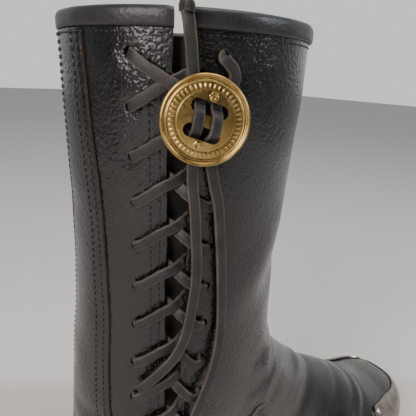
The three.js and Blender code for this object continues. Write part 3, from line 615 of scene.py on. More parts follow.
# The angle up from the sole where the upper's ring at each place meets the feather line.
def edge_angle(place, side):
    lo = np.zeros(len(place))
    hi = np.full(len(place), math.pi / 2)
    for _ in range(30):
        mid = (lo + hi) / 2
        p = face(place, side * mid)
        above = p[:, 2] - feather(p[:, 0]) > 0
        hi = np.where(above, mid, hi)
        lo = np.where(above, lo, mid)
    return np.where(hi < 1e-3, 0, hi)


def upper_grid(places, columns):
    start = edge_angle(places, 1)[:, None]
    stop = 2 * math.pi - edge_angle(places, -1)[:, None]
    angle = start + (stop - start) * np.arange(columns)[None, :] / columns
    return np.broadcast_to(places[:, None], angle.shape), angle


# The counter's outline from the side, as shares of the foot's length and the boot's height.
COUNTER_OUTLINE = [
    (-0.1, -0.2), (-0.1, 0.311), (0.13, 0.312), (0.23, 0.33), (0.318, 0.358), (0.342, 0.35), (0.352, 0.28),
    (0.362, 0.02), (0.362, -0.2),
]


def counter_front(z):
    return HEEL_BACK + FOOT_LENGTH * np.interp(z / BOOT_HEIGHT, [0.02, 0.28, 0.35], [0.362, 0.352, 0.342])


def upper_body():
    columns = 208
    places = np.concatenate([
        np.linspace(0, 9, 150), np.linspace(9, 15, 78)[1:], np.linspace(15, LAST, 48)[1:],
    ])
    place, angle = upper_grid(places, columns)
    plain = face(place, angle)
    normal = face_normal(place, angle)
    moved = plain + normal * relief(plain)[..., None]
    top = COLLAR_EDGE
    moved[..., 2] = np.minimum(moved[..., 2], top)
    skip = 4
    inner_rows = list(range(0, len(places), skip))
    if inner_rows[-1] != len(places) - 1:
        inner_rows.append(len(places) - 1)
    inside = plain[inner_rows] - normal[inner_rows] * WALL
    inside[..., 2] = np.minimum(inside[..., 2], top)
    rows = len(places)
    points = np.concatenate([moved.reshape(-1, 3), inside.reshape(-1, 3)])
    faces = grid_faces(rows, columns, wrap=True)
    outer_count = len(faces)
    offset_index = rows * columns
    faces += [f[::-1] for f in grid_faces(len(inner_rows), columns, wrap=True, start=offset_index)]
    inner_count = len(faces) - outer_count
    for i in range(columns):
        j = (i + 1) % columns
        faces.append([j, i, offset_index + i, offset_index + j])
    last_out = (rows - 1) * columns
    last_in = offset_index + (len(inner_rows) - 1) * columns
    faces.append([last_out + i for i in range(columns)])
    faces.append([last_in + i for i in range(columns)][::-1])
    flat = moved.reshape(-1, 3)
    vamp = (flat[:, 0] > counter_front(flat[:, 2])) & (flat[:, 2] < 0.37 * BOOT_HEIGHT)
    index = [4 if vamp[f[0]] else 0 for f in faces[:outer_count]]
    index += [1] * inner_count + [1] * columns + [4, 1]
    body = new_object("upper_leather", points, faces, [M["upper"], M["inside"], M["edge"], M["hole"], M["vamp"]], index)
    return outward(body)


def slit_cutter():
    heights = np.linspace(SLIT_BOTTOM, BOOT_HEIGHT + 6, 120)
    half = slit_half(heights)
    wander = 0.25 * np.sin(heights / 9.0) + 0.15 * np.sin(heights / 4.1 + 1)
    a = math.radians(SLIT_ANGLE)
    out = np.array([-math.cos(a), -math.sin(a), 0])
    right = np.array([math.sin(a), -math.cos(a), 0])
    centre = np.array([SHAFT_AXIS, 0, 0])
    rings = []
    for z, h, w in zip(heights, half, wander):
        base = centre + [0, 0, z]
        rings.append([
            base + out * 80 + right * (h + w), base + out * 80 - right * (h - w),
            base + out * 20 - right * (h - w), base + out * 20 + right * (h + w),
        ])
    cutter = tube("slit_cutter", rings, [M["edge"]])
    return outward(cutter)


def hole_cutter():
    parts = []
    for across in (-HOLE_BACK, HOLE_FRONT):
        p, n = shaft_point(np.full(HOLE_PAIRS, across), np.array(HOLE_HEIGHTS), np.zeros(HOLE_PAIRS))
        for q, m in zip(p, n):
            u = unit(np.cross(m, [0, 0, 1.0]))
            v = np.cross(m, u)
            ring = [
                [q + m * d + HOLE_RADIUS * (math.cos(t) * u * 0.86 + math.sin(t) * v)
                 for t in np.arange(16) * math.pi / 8]
                for d in (-6, 6)
            ]
            pts = [p_ for r in ring for p_ in r]
            fcs = [[i, (i + 1) % 16, 16 + (i + 1) % 16, 16 + i] for i in range(16)]
            fcs += [list(range(16))[::-1], [16 + i for i in range(16)]]
            parts.append((pts, fcs))
    return outward(join_meshes("hole_cutter", parts, [M["hole"]]))


def stay(piece, *nodes, slot=None):
    if nodes:
        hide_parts(*nodes)
    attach(piece, "root")
    return piece


def make_upper():
    body = upper_body()
    boolean(body, slit_cutter())
    boolean(body, hole_cutter())
    sharpen(body, 40)
    stay(body, "upper", slot="upper_leather")


# A raised sheet on the upper between two distances, over rows of places and angles, with rounded edges.
def overlay_sheet(name, place, angle, low, high, materials, follow=True, nodes=(), slot="upper_leather"):
    rows, columns = place.shape
    plain = face(place, angle)
    normal = face_normal(place, angle)
    lift = relief(plain) if follow else np.zeros(place.shape)
    r = np.arange(rows)[:, None] + 0 * angle
    c = np.arange(columns)[None, :] + 0 * angle
    rim = np.minimum(np.minimum(r, rows - 1 - r), np.minimum(c, columns - 1 - c))
    drop = np.where(rim == 0, 0.45, np.where(rim == 1, 0.12, 0.0))
    top = plain + normal * (lift + high - drop)[..., None]
    under = plain + normal * (lift + low)[..., None]
    points = np.concatenate([top.reshape(-1, 3), under.reshape(-1, 3)])
    count = rows * columns
    faces = grid_faces(rows, columns)
    faces += [[a + count for a in f][::-1] for f in grid_faces(rows, columns)]
    border = [(0, c_) for c_ in range(columns)] + [(r_, columns - 1) for r_ in range(1, rows)]
    border += [(rows - 1, c_) for c_ in range(columns - 2, -1, -1)] + [(r_, 0) for r_ in range(rows - 2, 0, -1)]
    ids = [a * columns + b for a, b in border]
    side = [[ids[i], ids[(i + 1) % len(ids)], ids[(i + 1) % len(ids)] + count, ids[i] + count] for i in range(len(ids))]
    index = [0] * len(faces) + [1] * len(side)
    obj = new_object(name, points, faces + side, materials, index)
    outward(obj)
    sharpen(obj, 42)
    return stay(obj, *nodes, slot=slot)


def counter_top(x):
    share = (x - HEEL_BACK) / FOOT_LENGTH
    return BOOT_HEIGHT * np.interp(share, [0, 0.13, 0.23, 0.318, 0.342], [0.311, 0.312, 0.33, 0.358, 0.35])


# A closed solid of the upper's lower half at a distance outside its leather.
def grown_solid(name, first, last, distance, material):
    place, angle = upper_grid(np.linspace(first, last, 128), 180)
    plain = face(place, angle)
    rings = plain + face_normal(place, angle) * (relief(plain) + distance)[..., None]
    return outward(tube(name, rings, [material]))


def edge_stitches(points, normals, spacing=3.0, length=2.1, radius=0.34, lift=0.12):
    points = np.asarray(points, float)
    step = np.linalg.norm(np.diff(points, axis=0), axis=1)
    reach = np.concatenate([[0], np.cumsum(step)])
    count = max(int(reach[-1] / spacing), 1)
    at = (np.arange(count) + 0.5) * reach[-1] / count
    centre = np.stack([np.interp(at, reach, points[:, k]) for k in range(3)], -1)
    ahead = np.stack([np.interp(at + 0.4, reach, points[:, k]) for k in range(3)], -1)
    normal = unit(np.stack([np.interp(at, reach, normals[:, k]) for k in range(3)], -1))
    along = unit(ahead - centre + 1e-9)
    side = unit(np.cross(along, normal))
    parts = []
    for c, a, s, n in zip(centre, along, side, normal):
        pts = []
        for d, r, h in ((-length / 2, 0.25, -0.35), (-length / 3, 0.9, lift), (length / 3, 0.9, lift), (length / 2, 0.25, -0.35)):
            for t in (0, 1.256, 2.513, 3.77, 5.027):
                pts.append(c + a * d + n * (h + radius * r * math.sin(t)) + s * radius * r * math.cos(t))
        fcs = []
        for k in range(3):
            for i in range(5):
                j = (i + 1) % 5
                fcs.append([k * 5 + i, k * 5 + j, k * 5 + 5 + j, k * 5 + 5 + i])
        fcs += [[4, 3, 2, 1, 0], [15, 16, 17, 18, 19]]
        parts.append((pts, fcs))
    return parts


def surface_line(place, angle, distance):
    plain = face(place, angle)
    n = face_normal(place, angle)
    return plain + n * (relief(plain) + distance)[..., None], n


def make_backstay():
    top = BOOT_HEIGHT - BINDING_HEIGHT - GAP - 0.2
    foot = 0.312 * BOOT_HEIGHT + GAP
    heights = np.linspace(top, foot, 120)
    full = 0.25 * BOOT_HEIGHT
    half = np.interp(heights, [full, top], [26, 13])
    t = np.linspace(-1, 1, 40)
    y = half[:, None] * t[None, :]
    z = heights[:, None] + 0 * y
    angle = -np.arctan2(y, 55)
    for _ in range(25):
        place = place_at(angle, z)
        p = face(place, angle)
        angle = angle - (y - p[..., 1]) / 52
    place = place_at(angle, z)
    overlay_sheet("backstay_leather", place, angle, GAP - 0.25, GAP + OVERLAY - 0.4,
                  [M["overlay"], M["edge"]], nodes=("backstay",))
    parts = []
    for inset in (2.2, 6.2):
        for side in (-1, 1):
            target = side * (half - inset)
            a = -np.arctan2(target, 55)
            for _ in range(25):
                pl = place_at(a, heights)
                q = face(pl, a)
                a = a - (target - q[:, 1]) / 52
            line, n = surface_line(place_at(a, heights), a, GAP + OVERLAY - 0.4)
            parts += edge_stitches(line, n)
    stay(join_meshes("backstay_stitching", parts, [M["thread"]]), slot="upper_leather")


# Stitches along a line given in the side view, on one side of the boot.
def side_stitches(x, z, side, distance):
    place, angle = np.meshgrid(np.linspace(3, 14, 420), np.linspace(0.03, 2.9, 420), indexing="ij")
    p = face(place, side * angle)
    best = [np.argmin((p[..., 0] - a) ** 2 + (p[..., 2] - b) ** 2) for a, b in zip(x, z)]
    line, n = surface_line(place.ravel()[best], side * angle.ravel()[best], distance)
    smooth = line.copy()
    for _ in range(3):
        smooth[1:-1] = (smooth[:-2] + 2 * smooth[1:-1] + smooth[2:]) / 4
    return edge_stitches(smooth, n)


def make_counter():
    high = GAP + OVERLAY - 0.3
    piece = grown_solid("counter_leather", 2.0, 15.0, high, M["overlay"])
    piece.data.materials.append(M["edge"])
    outline_points = [(HEEL_BACK + a * FOOT_LENGTH, b * BOOT_HEIGHT) for a, b in COUNTER_OUTLINE]
    rings = [[(x, y, z) for x, z in outline_points] for y in (-90, 90)]
    boolean(piece, outward(tube("counter_block", rings, [M["edge"]])), "INTERSECT")
    boolean(piece, grown_solid("counter_inside", 1.5, 15.5, GAP - 0.25, M["edge"]))
    x = np.linspace(-70, 110, 60)
    level = feather(np.clip(x, HEEL_BACK, HEEL_BACK + FOOT_LENGTH)) + GAP
    rim = list(zip(x, level)) + [(110, -60), (-70, -60)]
    rings = [[(a, y, b) for a, b in rim] for y in (-90, 90)]
    boolean(piece, outward(tube("counter_under", rings, [M["edge"]])))
    sharpen(piece, 42)
    stay(piece, "counter", slot="upper_leather")
    parts = []
    for side in (1, -1):
        x = np.linspace(HEEL_BACK + 6, HEEL_BACK + 0.335 * FOOT_LENGTH, 110)
        for inset in (2.2, 5.4):
            parts += side_stitches(x, counter_top(x) - inset, side, high)
            z = np.linspace(0.34 * BOOT_HEIGHT - inset, feather(70.0) + 5, 60)
            parts += side_stitches(counter_front(z) - inset, z, side, high)
    stay(join_meshes("counter_stitching", parts, [M["thread"]]), slot="upper_leather")


def make_slit_stitches():
    heights = np.linspace(SLIT_BOTTOM - 4, BOOT_HEIGHT - BINDING_HEIGHT - 3, 140)
    parts = []
    for across in (-6.6, -10.4, 6.4):
        edge = slit_half(heights) - 3.6
        shift = across + np.sign(across) * 0.6 * edge
        place, angle = shaft_place(SLIT_ANGLE + np.degrees(shift / SHAFT_RADIUS), heights)
        line, n = surface_line(place, angle, 0.05)
        parts += edge_stitches(line, n, spacing=2.9)
    around = np.linspace(SLIT_ANGLE + 4, SLIT_ANGLE + 356, 260)
    level = np.full(len(around), BOOT_HEIGHT - BINDING_HEIGHT - 1.8)
    place, angle = shaft_place(around, level)
    back = np.abs((around + 180) % 360 - 180) < 15.5
    line, n = surface_line(place, angle, np.where(back, OVERLAY, 0.05))
    parts += edge_stitches(line, n, spacing=2.6, length=1.8)
    stay(join_meshes("shaft_stitching", parts, [M["thread"]]), slot="upper_leather")


def make_binding():
    outside = GAP + BINDING_LEATHER
    inside = -WALL - GAP - BINDING_LEATHER
    ring = [
        (outside - 0.75, -BINDING_HEIGHT), (outside - 0.2, -BINDING_HEIGHT + 0.5), (outside, -BINDING_HEIGHT + 1.4),
        (outside + 0.05, -4), (outside, -2.4), (outside - 0.35, -1.2), (outside - 1.1, -0.35), (-WALL / 2, 0),
        (inside + 1.1, -0.35), (inside + 0.35, -1.2), (inside, -2.4), (inside, -BINDING_HEIGHT + 0.8),
        (inside + 0.6, -BINDING_HEIGHT), (-WALL - GAP, -BINDING_HEIGHT), (-WALL - GAP, -BINDING_LEATHER),
        (GAP, -BINDING_LEATHER), (GAP, -BINDING_HEIGHT),
    ]
    half = math.degrees(2.6 / SHAFT_RADIUS)
    around = np.linspace(SLIT_ANGLE + half, SLIT_ANGLE + 360 - half, 250)
    rings = []
    outs = np.array([r[0] for r in ring])
    unders = np.array([r[1] for r in ring])
    degrees = np.broadcast_to(around[:, None], (len(around), len(ring)))
    level = np.broadcast_to(BOOT_HEIGHT + unders[None, :], degrees.shape)
    place, angle = shaft_place(degrees, level)
    swell = 0.12 * np.sin(around / 7.3) + 0.1 * np.sin(around / 3.1 + 1)
    ends = np.minimum(np.arange(len(around)), np.arange(len(around))[::-1])
    pinch = np.where(ends == 0, -0.5, np.where(ends == 1, -0.12, 0.0))
    pts = offset(place, angle, outs[None, :] + (swell + pinch)[:, None] * np.sign(outs + WALL / 2)[None, :] * (np.abs(outs + WALL / 2) > WALL / 2 + GAP + 0.2))
    pts[..., 2] = level + np.where(unders > -1.5, pinch[:, None], 0)
    obj = tube("collar_binding_leather", pts, [M["binding"]])
    sharpen(outward(obj), 45)
    stay(obj, "collar_binding", slot="binding_leather")


def make_gusset():
    low = SLIT_BOTTOM - 9
    high = COLLAR_EDGE - BINDING_HEIGHT - 1
    heights = np.linspace(low, high, 90)
    across = np.linspace(-27, 27, 40)
    fold = 1 - smooth_step(0.72, 1, np.abs(across) / 27)
    near = []
    far = []
    for z in heights:
        deep = WALL + 3 * GAP + 3.6 * fold + 0.5 * np.sin(across / 3 + z / 14) * fold
        near.append(shaft_point(across, np.full(len(across), z), -deep)[0])
        far.append(shaft_point(across, np.full(len(across), z), -deep - 1.2)[0])
    rings = [np.concatenate([a, b[::-1]]) for a, b in zip(near, far)]
    obj = tube("gusset_leather_sheet", rings, [M["gusset"]])
    sharpen(outward(obj), 45)
    stay(obj, "gusset", slot="gusset_leather")


# The outline of the upper's lower edge in plan, as in the part, with many points.
def footprint(count=220):
    def halve(low, high, test):
        for _ in range(34):
            mid = (low + high) / 2
            hit = test(mid) > 0
            high = np.where(hit, mid, high)
            low = np.where(hit, low, mid)
        return (low + high) / 2

    def above(place, angle):
        p = face(place, angle)
        return p[..., 2] - feather(p[..., 0])

    heel = float(halve(np.array(10.0), np.array(7.0), lambda q: above(q, 0 * q)))
    toe = float(halve(np.array(LAST - 1.5), np.array(float(LAST)), lambda q: above(q, 0 * q)))
    k = np.arange(1, 60)
    place = heel + (toe - heel) * (0.5 - 0.5 * np.cos(np.pi * k / 60))
    halves = []
    for side in (1, -1):
        a = halve(np.zeros(len(k)), np.full(len(k), np.pi / 2), lambda q: above(place, side * q))
        halves.append(face(place, side * a)[:, :2])
    ends = [face(heel, 0.0)[:2], face(toe, 0.0)[:2]]
    loop = np.vstack([ends[0], halves[0], ends[1], halves[1][::-1]])
    closed = np.vstack([loop[-3:], loop, loop[:3]])
    dense = spline(closed, 1600)
    keep = slice(int(1600 * 3 / (len(closed) - 1)), int(1600 * (len(closed) - 3) / (len(closed) - 1)))
    dense = dense[keep]
    step = np.linalg.norm(np.diff(np.vstack([dense, dense[:1]]), axis=0), axis=1)
    reach = np.concatenate([[0], np.cumsum(step)])
    at = np.arange(count) / count * reach[-1]
    wrap = np.vstack([dense, dense[:1]])
    pts = np.stack([np.interp(at, reach, wrap[:, j]) for j in range(2)], -1)
    for _ in range(3):
        pts = (np.roll(pts, 1, 0) + 2 * pts + np.roll(pts, -1, 0)) / 4
    along = np.roll(pts, -1, 0) - np.roll(pts, 1, 0)
    along = unit(along)
    out = np.stack([along[:, 1], -along[:, 0]], -1)
    centre = pts.mean(0)
    if ((pts - centre) * out).sum() < 0:
        out = -out
    return pts, out


FOOT, FOOT_OUT = footprint()


def outline(distance):
    return FOOT + FOOT_OUT * distance


# A layer of the sole: rings of (distance out, height under the feather), closed in the middle above and below.
def sole_layer(name, rings, materials, band=None, fixed_bottom=None):
    count = len(FOOT)
    loops = []
    for out, under in rings:
        xy = outline(out)
        z = feather(np.clip(xy[:, 0], HEEL_BACK, HEEL_BACK + FOOT_LENGTH + 4)) + under
        loops.append(np.column_stack([xy, z]))
    obj = tube(name, loops, materials)
    bm = bmesh.new()
    bm.from_mesh(obj.data)
    caps = [f for f in bm.faces if len(f.verts) > 4]
    for f in caps:
        bmesh.ops.triangulate(bm, faces=[f])
    bm.to_mesh(obj.data)
    bm.free()
    return outward(obj)


def make_welt():
    m = WELT_MARGIN
    inner = WELT_MARGIN - WELT_BAND
    count = len(FOOT)
    profile = [(m - 0.5, -GAP), (m - 0.1, -0.9), (m, -2), (m - 0.15, -3.3), (m - 0.5, -WELT),
               (inner, -WELT), (inner, -GAP)]
    loops = []
    for out, under in profile:
        xy = outline(out)
        z = feather(np.clip(xy[:, 0], HEEL_BACK, HEEL_BACK + FOOT_LENGTH + 4)) + under
        loops.append(np.column_stack([xy, z]))
    rings = np.stack(loops, 1)
    obj = tube("welt_leather", rings, [M["sole"]], looped=True)
    sharpen(outward(obj), 40)
    stay(obj, "welt", slot="sole_leather")
    xy = outline(m - 1.9)
    z = feather(np.clip(xy[:, 0], HEEL_BACK, HEEL_BACK + FOOT_LENGTH + 4)) - GAP + 0.05
    line = np.column_stack([xy, z])
    keep = (line[:, 0] > HEEL_BREAST - 12) & (line[:, 0] < GUARD_BACK + 4)
    parts = []
    for side in (-1, 1):
        run = line[keep & (np.sign(line[:, 1]) == side)]
        run = run[np.argsort(run[:, 0])]
        normals = np.tile([0.0, 0.0, 1.0], (len(run), 1))
        parts += edge_stitches(run, normals, spacing=4.2, length=3.3, radius=0.55)
    stay(join_meshes("welt_stitching", parts, [M["lace_edge"]]), slot="sole_leather")


def make_outsole():
    m = WELT_MARGIN
    base = -SOLE_THICKNESS
    rings = [(m - 30, -WELT - GAP), (m - 0.3, -WELT - GAP), (m, -WELT - 0.9), (m, -7), (m - 0.05, base + 1.2),
             (m - 0.6, base + 0.25), (m - 1.4, base), (m - 30, base)]
    obj = sole_layer("outsole_rubber", rings, [M["rubber"]])
    sharpen(obj, 30)
    stay(obj, "outsole", slot="sole_rubber")


def heel_ring(height, grow=0.0):
    full = HEEL_HEIGHT - SOLE_THICKNESS
    size = HEEL_TAPER + (1 - HEEL_TAPER) * height / full
    xy = outline(WELT_MARGIN + grow)
    behind = xy[xy[:, 0] < HEEL_BREAST - 1]
    order = np.argsort(np.arctan2(behind[:, 1], HEEL_BREAST - behind[:, 0]))
    behind = behind[order]
    breast = HEEL_BREAST
    first, last = behind[0], behind[-1]
    t = np.linspace(1, -1, 26)[1:-1]
    y = last[1] + (first[1] - last[1]) * (1 - t) / 2
    front = np.column_stack([breast - 3.2 * (1 - t ** 2), y])
    corners = [[breast, last[1]]], [[breast, first[1]]]
    xy = np.vstack([behind, corners[0], front, corners[1]])
    xy = np.column_stack([HEEL_CENTRE + (xy[:, 0] - HEEL_CENTRE) * size, xy[:, 1] * size])
    return np.column_stack([xy, np.full(len(xy), height)])


def make_heel():
    full = HEEL_HEIGHT - SOLE_THICKNESS
    rings = []
    lifts = [HEEL_CAP + GAP, 13.2, 18.0, 22.8, full - GAP]
    for k, z in enumerate(lifts):
        if k:
            rings.append(heel_ring(z - 0.3))
            rings.append(heel_ring(z, -0.35))
        if k < len(lifts) - 1:
            rings.append(heel_ring(z + 0.02, -0.35) if k else heel_ring(z, -0.3))
            rings.append(heel_ring(z + 0.35))
    top = rings[-1]
    under = feather(top[:, 0]) - SOLE_THICKNESS - GAP
    for ring in rings:
        ring[:, 2] = np.minimum(ring[:, 2], under)
    obj = tube("heel_stack_leather", rings, [M["sole"]])
    sharpen(outward(obj), 35)
    stay(obj, "heel_stack", slot="sole_leather")
    cap = [heel_ring(0, -0.8), heel_ring(0.35, -0.1), heel_ring(1.1), heel_ring(HEEL_CAP - 0.5), heel_ring(HEEL_CAP, -0.3)]
    obj = tube("heel_cap_rubber", cap, [M["rubber"]])
    sharpen(outward(obj), 35)
    stay(obj, "heel_cap", slot="sole_rubber")


def make_insole():
    inset = -WALL - 5
    rings = [(inset - 24, 0.1), (inset, 0.1), (inset, 3.3), (inset - 0.8, 4), (inset - 24, 4)]
    obj = sole_layer("insole_board", rings, [M["insole"]])
    sharpen(obj, 35)
    stay(obj, "insole", slot="insole_board")


# The guard's upper edge as a height for each X, from its tip back to its wing.
def guard_top(x):
    along = (x - GUARD_BACK) / (HEEL_BACK + FOOT_LENGTH - GUARD_BACK)
    rise = np.interp(along, [0, 0.04, 0.17, 0.34, 0.56, 0.73, 0.866, 1], [0.8, 1, 0.93, 0.74, 0.5, 0.33, 0.14, 0])
    return GUARD_TIP + (GUARD_TOP - GUARD_TIP) * rise


# The guard runs over the toe's leather, out across the welt and down the sole's edge.
def make_guard():
    columns = 150
    front = np.where(FOOT[:, 0] > GUARD_BACK + 3)[0]
    xy = FOOT[front]
    out = FOOT_OUT[front]
    order = np.argsort(np.arctan2(xy[:, 1], xy[:, 0] - GUARD_BACK - 10))
    xy, out = xy[order], out[order]
    reach = np.concatenate([[0], np.cumsum(np.linalg.norm(np.diff(xy, axis=0), axis=1))])
    at = np.linspace(0, reach[-1], columns)
    xy = np.stack([np.interp(at, reach, xy[:, j]) for j in range(2)], -1)
    out = unit(np.stack([np.interp(at, reach, out[:, j]) for j in range(2)], -1))
    # place and angle on the upper where a line inwards from the outline meets each height
    feet = feather(xy[:, 0])
    rows = 18
    lean = np.linspace(0, 1, rows)
    pts = []
    shell = GAP + GUARD_PLATE
    places = np.linspace(12.2, LAST, 260)
    angles = np.linspace(0.35, 2 * math.pi - 0.35, 300)
    gp, ga = np.meshgrid(places, angles, indexing="ij")
    cloud = offset(gp, ga, np.full(gp.shape, shell))
    flat = cloud.reshape(-1, 3)
    low_ok = flat[:, 2] > feather(flat[:, 0]) - 2
    flat = flat[low_ok]
    for k in range(rows):
        row = []
        for i in range(columns):
            base = xy[i]
            top = guard_top(base[0] - 6)
            wing = smooth_step(0, 13, base[0] - GUARD_BACK - 3)
            level = feet[i] + 1.6 + (top - feet[i] - 1.6) * lean[k] * (0.25 + 0.75 * wing if lean[k] > 0 else 1)
            band = flat[np.abs(flat[:, 2] - level) < 0.55]
            d = band[:, :2] - base
            along = d @ out[i]
            off = np.abs(d @ np.array([-out[i][1], out[i][0]]))
            near = band[(off < 1.6) & (along < 6)]
            if len(near) == 0:
                row.append(row[-1] if row else np.array([*base, level]))
                continue
            al = (near[:, :2] - base) @ out[i]
            best = near[np.argmax(al)]
            row.append(np.array([*(base + out[i] * al.max()), level]))
        pts.append(row)
    surface = np.array(pts)
    for _ in range(2):
        surface[:, 1:-1] = (surface[:, :-2] + 2 * surface[:, 1:-1] + surface[:, 2:]) / 4
    edge = WELT_MARGIN + GAP + GUARD_PLATE
    skirt = []
    for o, z in ((1.2 + shell * 0.3, 1.35), (edge - 1.3, 1.15), (edge - 0.4, 0.85), (edge, 0.0), (edge, -4), (edge, 3.2 - SOLE_THICKNESS)):
        line = xy + out * o
        skirt.append(np.column_stack([line, feet + z]))
    skirt = np.array(skirt)
    outer = np.concatenate([surface[::-1], skirt])
    inner_shift = np.zeros(outer.shape)
    flat_out = np.column_stack([out, np.zeros(columns)])
    inner_shift[:rows] = -flat_out * 0.9
    inner_shift[:rows, :, 2] -= 0.75
    inner_shift[rows:rows + 3, :, 2] -= GUARD_PLATE
    inner_shift[rows + 3:] = -flat_out * GUARD_PLATE
    inner_shift[rows + 3, :, 2] -= 0.9
    inner = outer + inner_shift
    rings = np.concatenate([outer, inner[::-1]]).transpose(1, 0, 2)
    obj = tube("toe_guard_plate", rings, [M["guard"]])
    sharpen(outward(obj), 50)
    mod = obj.modifiers.new("soft", "BEVEL")
    mod.width = 0.00025
    mod.segments = 2
    mod.limit_method = "ANGLE"
    mod.angle_limit = math.radians(50)
    stay(obj, "toe_guard", slot="guard_metal")


def make_rivets():
    grid_p, grid_a = np.meshgrid(np.linspace(13, LAST, 300), np.linspace(0.3, 2.6, 200), indexing="ij")
    for name, side in (("outer", 1), ("inner", -1)):
        p = face(grid_p, side * grid_a)
        far = np.hypot(p[..., 0] - RIVET_X, p[..., 2] - RIVET_Z)
        i = np.unravel_index(np.argmin(far), far.shape)
        place, angle = grid_p[i], side * grid_a[i]
        n = face_normal(place, angle)
        seat = face(place, angle) + n * (GAP + GUARD_PLATE - 0.1)
        u = unit(np.cross(n, [0, 0, 1.0]))
        v = np.cross(n, u)
        rings = []
        for r, h in ((1, 0), (1, 0.35), (0.93, 0.75), (0.75, 1.1), (0.5, 1.32), (0.25, 1.42), (0.05, 1.45)):
            rings.append([seat + n * h + RIVET_RADIUS * r * (math.cos(t) * u + math.sin(t) * v)
                          for t in np.arange(28) * math.pi / 14])
        obj = tube(f"rivet_{name}", rings, [M["rivet"]])
        sharpen(outward(obj), 50)
        stay(obj, f"guard_rivet_{name}", slot="rivet_metal")


def concho_frame():
    a = math.radians(CONCHO_ANGLE)
    out = np.array([-math.cos(a), -math.sin(a), 0])
    up = np.array([0, 0, 1.0])
    right = np.cross(up, out)
    across = math.radians(CONCHO_ANGLE - SLIT_ANGLE) * SHAFT_RADIUS
    centre = shaft_point(np.array([across]), np.array([CONCHO_HEIGHT]), np.zeros(1))[0][0] + out * CONCHO_STAND
    t = math.radians(CONCHO_TURN)
    return centre, right * math.cos(t) + up * math.sin(t), up * math.cos(t) - right * math.sin(t), out


def concho_height(r, theta):
    edge = CONCHO_RADIUS
    q = r / edge
    h = CONCHO_PLATE + CONCHO_DOME * (1 - np.clip(r / (edge - 2.2), 0, 1) ** 2)
    h += 0.62 * np.exp(-((r - (edge - 0.75)) / 0.62) ** 2)
    h += 0.30 * np.exp(-((r - (edge - 2.35)) / 0.34) ** 2)
    h -= 0.16 * np.exp(-((r - (edge - 1.75)) / 0.3) ** 2)
    ticks = np.clip(np.cos(theta * 46), 0, 1) ** 1.5
    h += 0.26 * ticks * np.exp(-((r - 12.6) / 0.85) ** 4)
    h -= 0.12 * np.exp(-((r - 11.0) / 0.25) ** 2)
    for sign in (1, -1):
        x = r * np.cos(theta)
        y = r * np.sin(theta) - sign * 9.1
        petals = 0.5 + 0.5 * np.cos(6 * np.arctan2(y, x))
        d = np.hypot(x, y)
        h += 0.3 * np.exp(-((d - 0.9 - 0.35 * petals) / 0.42) ** 2)
    return h + 0.0 * q


def make_concho():
    centre, right, up, out = concho_frame()
    sides = 276
    theta = np.arange(sides) * 2 * math.pi / sides
    radii = np.concatenate([np.linspace(0.05, 7, 14), np.linspace(7.3, CONCHO_RADIUS - 0.12, 46), [CONCHO_RADIUS]])
    rings = []
    for r in radii:
        h = concho_height(np.full(sides, r), theta) - (0.35 if r == CONCHO_RADIUS else 0)
        rings.append(centre + np.outer(r * np.cos(theta), right) + np.outer(r * np.sin(theta), up) + np.outer(h, out))
    for r, h in ((CONCHO_RADIUS, 0.15), (CONCHO_RADIUS - 0.3, 0.0), (9, 0.75), (0.05, CONCHO_DOME)):
        rings.append(centre + r * np.outer(np.cos(theta), right) + r * np.outer(np.sin(theta), up) + out * h)
    obj = tube("concho_disc", rings, [M["brass"], M["brass_dark"]])
    outward(obj)
    half = (SLOT_LENGTH - SLOT_WIDTH) / 2
    parts = []
    for side in (-1, 1):
        ring = []
        for k in range(17):
            a = -math.pi / 2 + math.pi * k / 16
            ring.append((half + SLOT_WIDTH / 2 * math.cos(a), side * SLOT_SPACING / 2 + SLOT_WIDTH / 2 * math.sin(a)))
        for k in range(17):
            a = math.pi / 2 + math.pi * k / 16
            ring.append((-half + SLOT_WIDTH / 2 * math.cos(a), side * SLOT_SPACING / 2 + SLOT_WIDTH / 2 * math.sin(a)))
        n = len(ring)
        pts = [centre + right * x + up * y + out * h for h in (-4, 8) for x, y in ring]
        fcs = [[i, (i + 1) % n, n + (i + 1) % n, n + i] for i in range(n)]
        fcs += [list(range(n))[::-1], [n + i for i in range(n)]]
        parts.append((pts, fcs))
    cutter = outward(join_meshes("slot_cutter", parts, [M["brass_dark"]]))
    boolean(obj, cutter)
    sharpen(obj, 35)
    stay(obj, "concho", slot="concho_brass")


def strap_piece(name, runs, nodes, width=LACE_WIDTH):
    all_points = []
    all_faces = []
    all_index = []
    for places in runs:
        places = np.array(places, float)
        pts, normals = shaft_point(places[:, 0], places[:, 1], places[:, 2])
        count = 9 * (len(places) - 1) + 1
        path = spline(pts, count)
        t = np.linspace(0, len(places) - 1, count)
        n = unit(np.stack([np.interp(t, range(len(places)), normals[:, j]) for j in range(3)], -1))
        swell = 1 + 0.04 * np.sin(np.arange(count) * 0.9 + places[0, 1])
        rings, edge = strip_rings(path, n, width, LACE_THICKNESS, swell)
        rings = np.array(rings)
        start = len(all_points)
        rows, columns = rings.shape[:2]
        all_points += list(rings.reshape(-1, 3))
        f = grid_faces(rows, columns, wrap=True, start=start)
        all_index += [edge[k % columns] for k in range(len(f))] + [1, 1]
        f += [[start + i for i in range(columns)][::-1], [start + (rows - 1) * columns + i for i in range(columns)]]
        all_faces += f
    obj = new_object(name, all_points, all_faces, [M["lace"], M["lace_edge"]], all_index)
    sharpen(outward(obj), 50)
    stay(obj, *nodes, slot="lace_leather")
    return obj


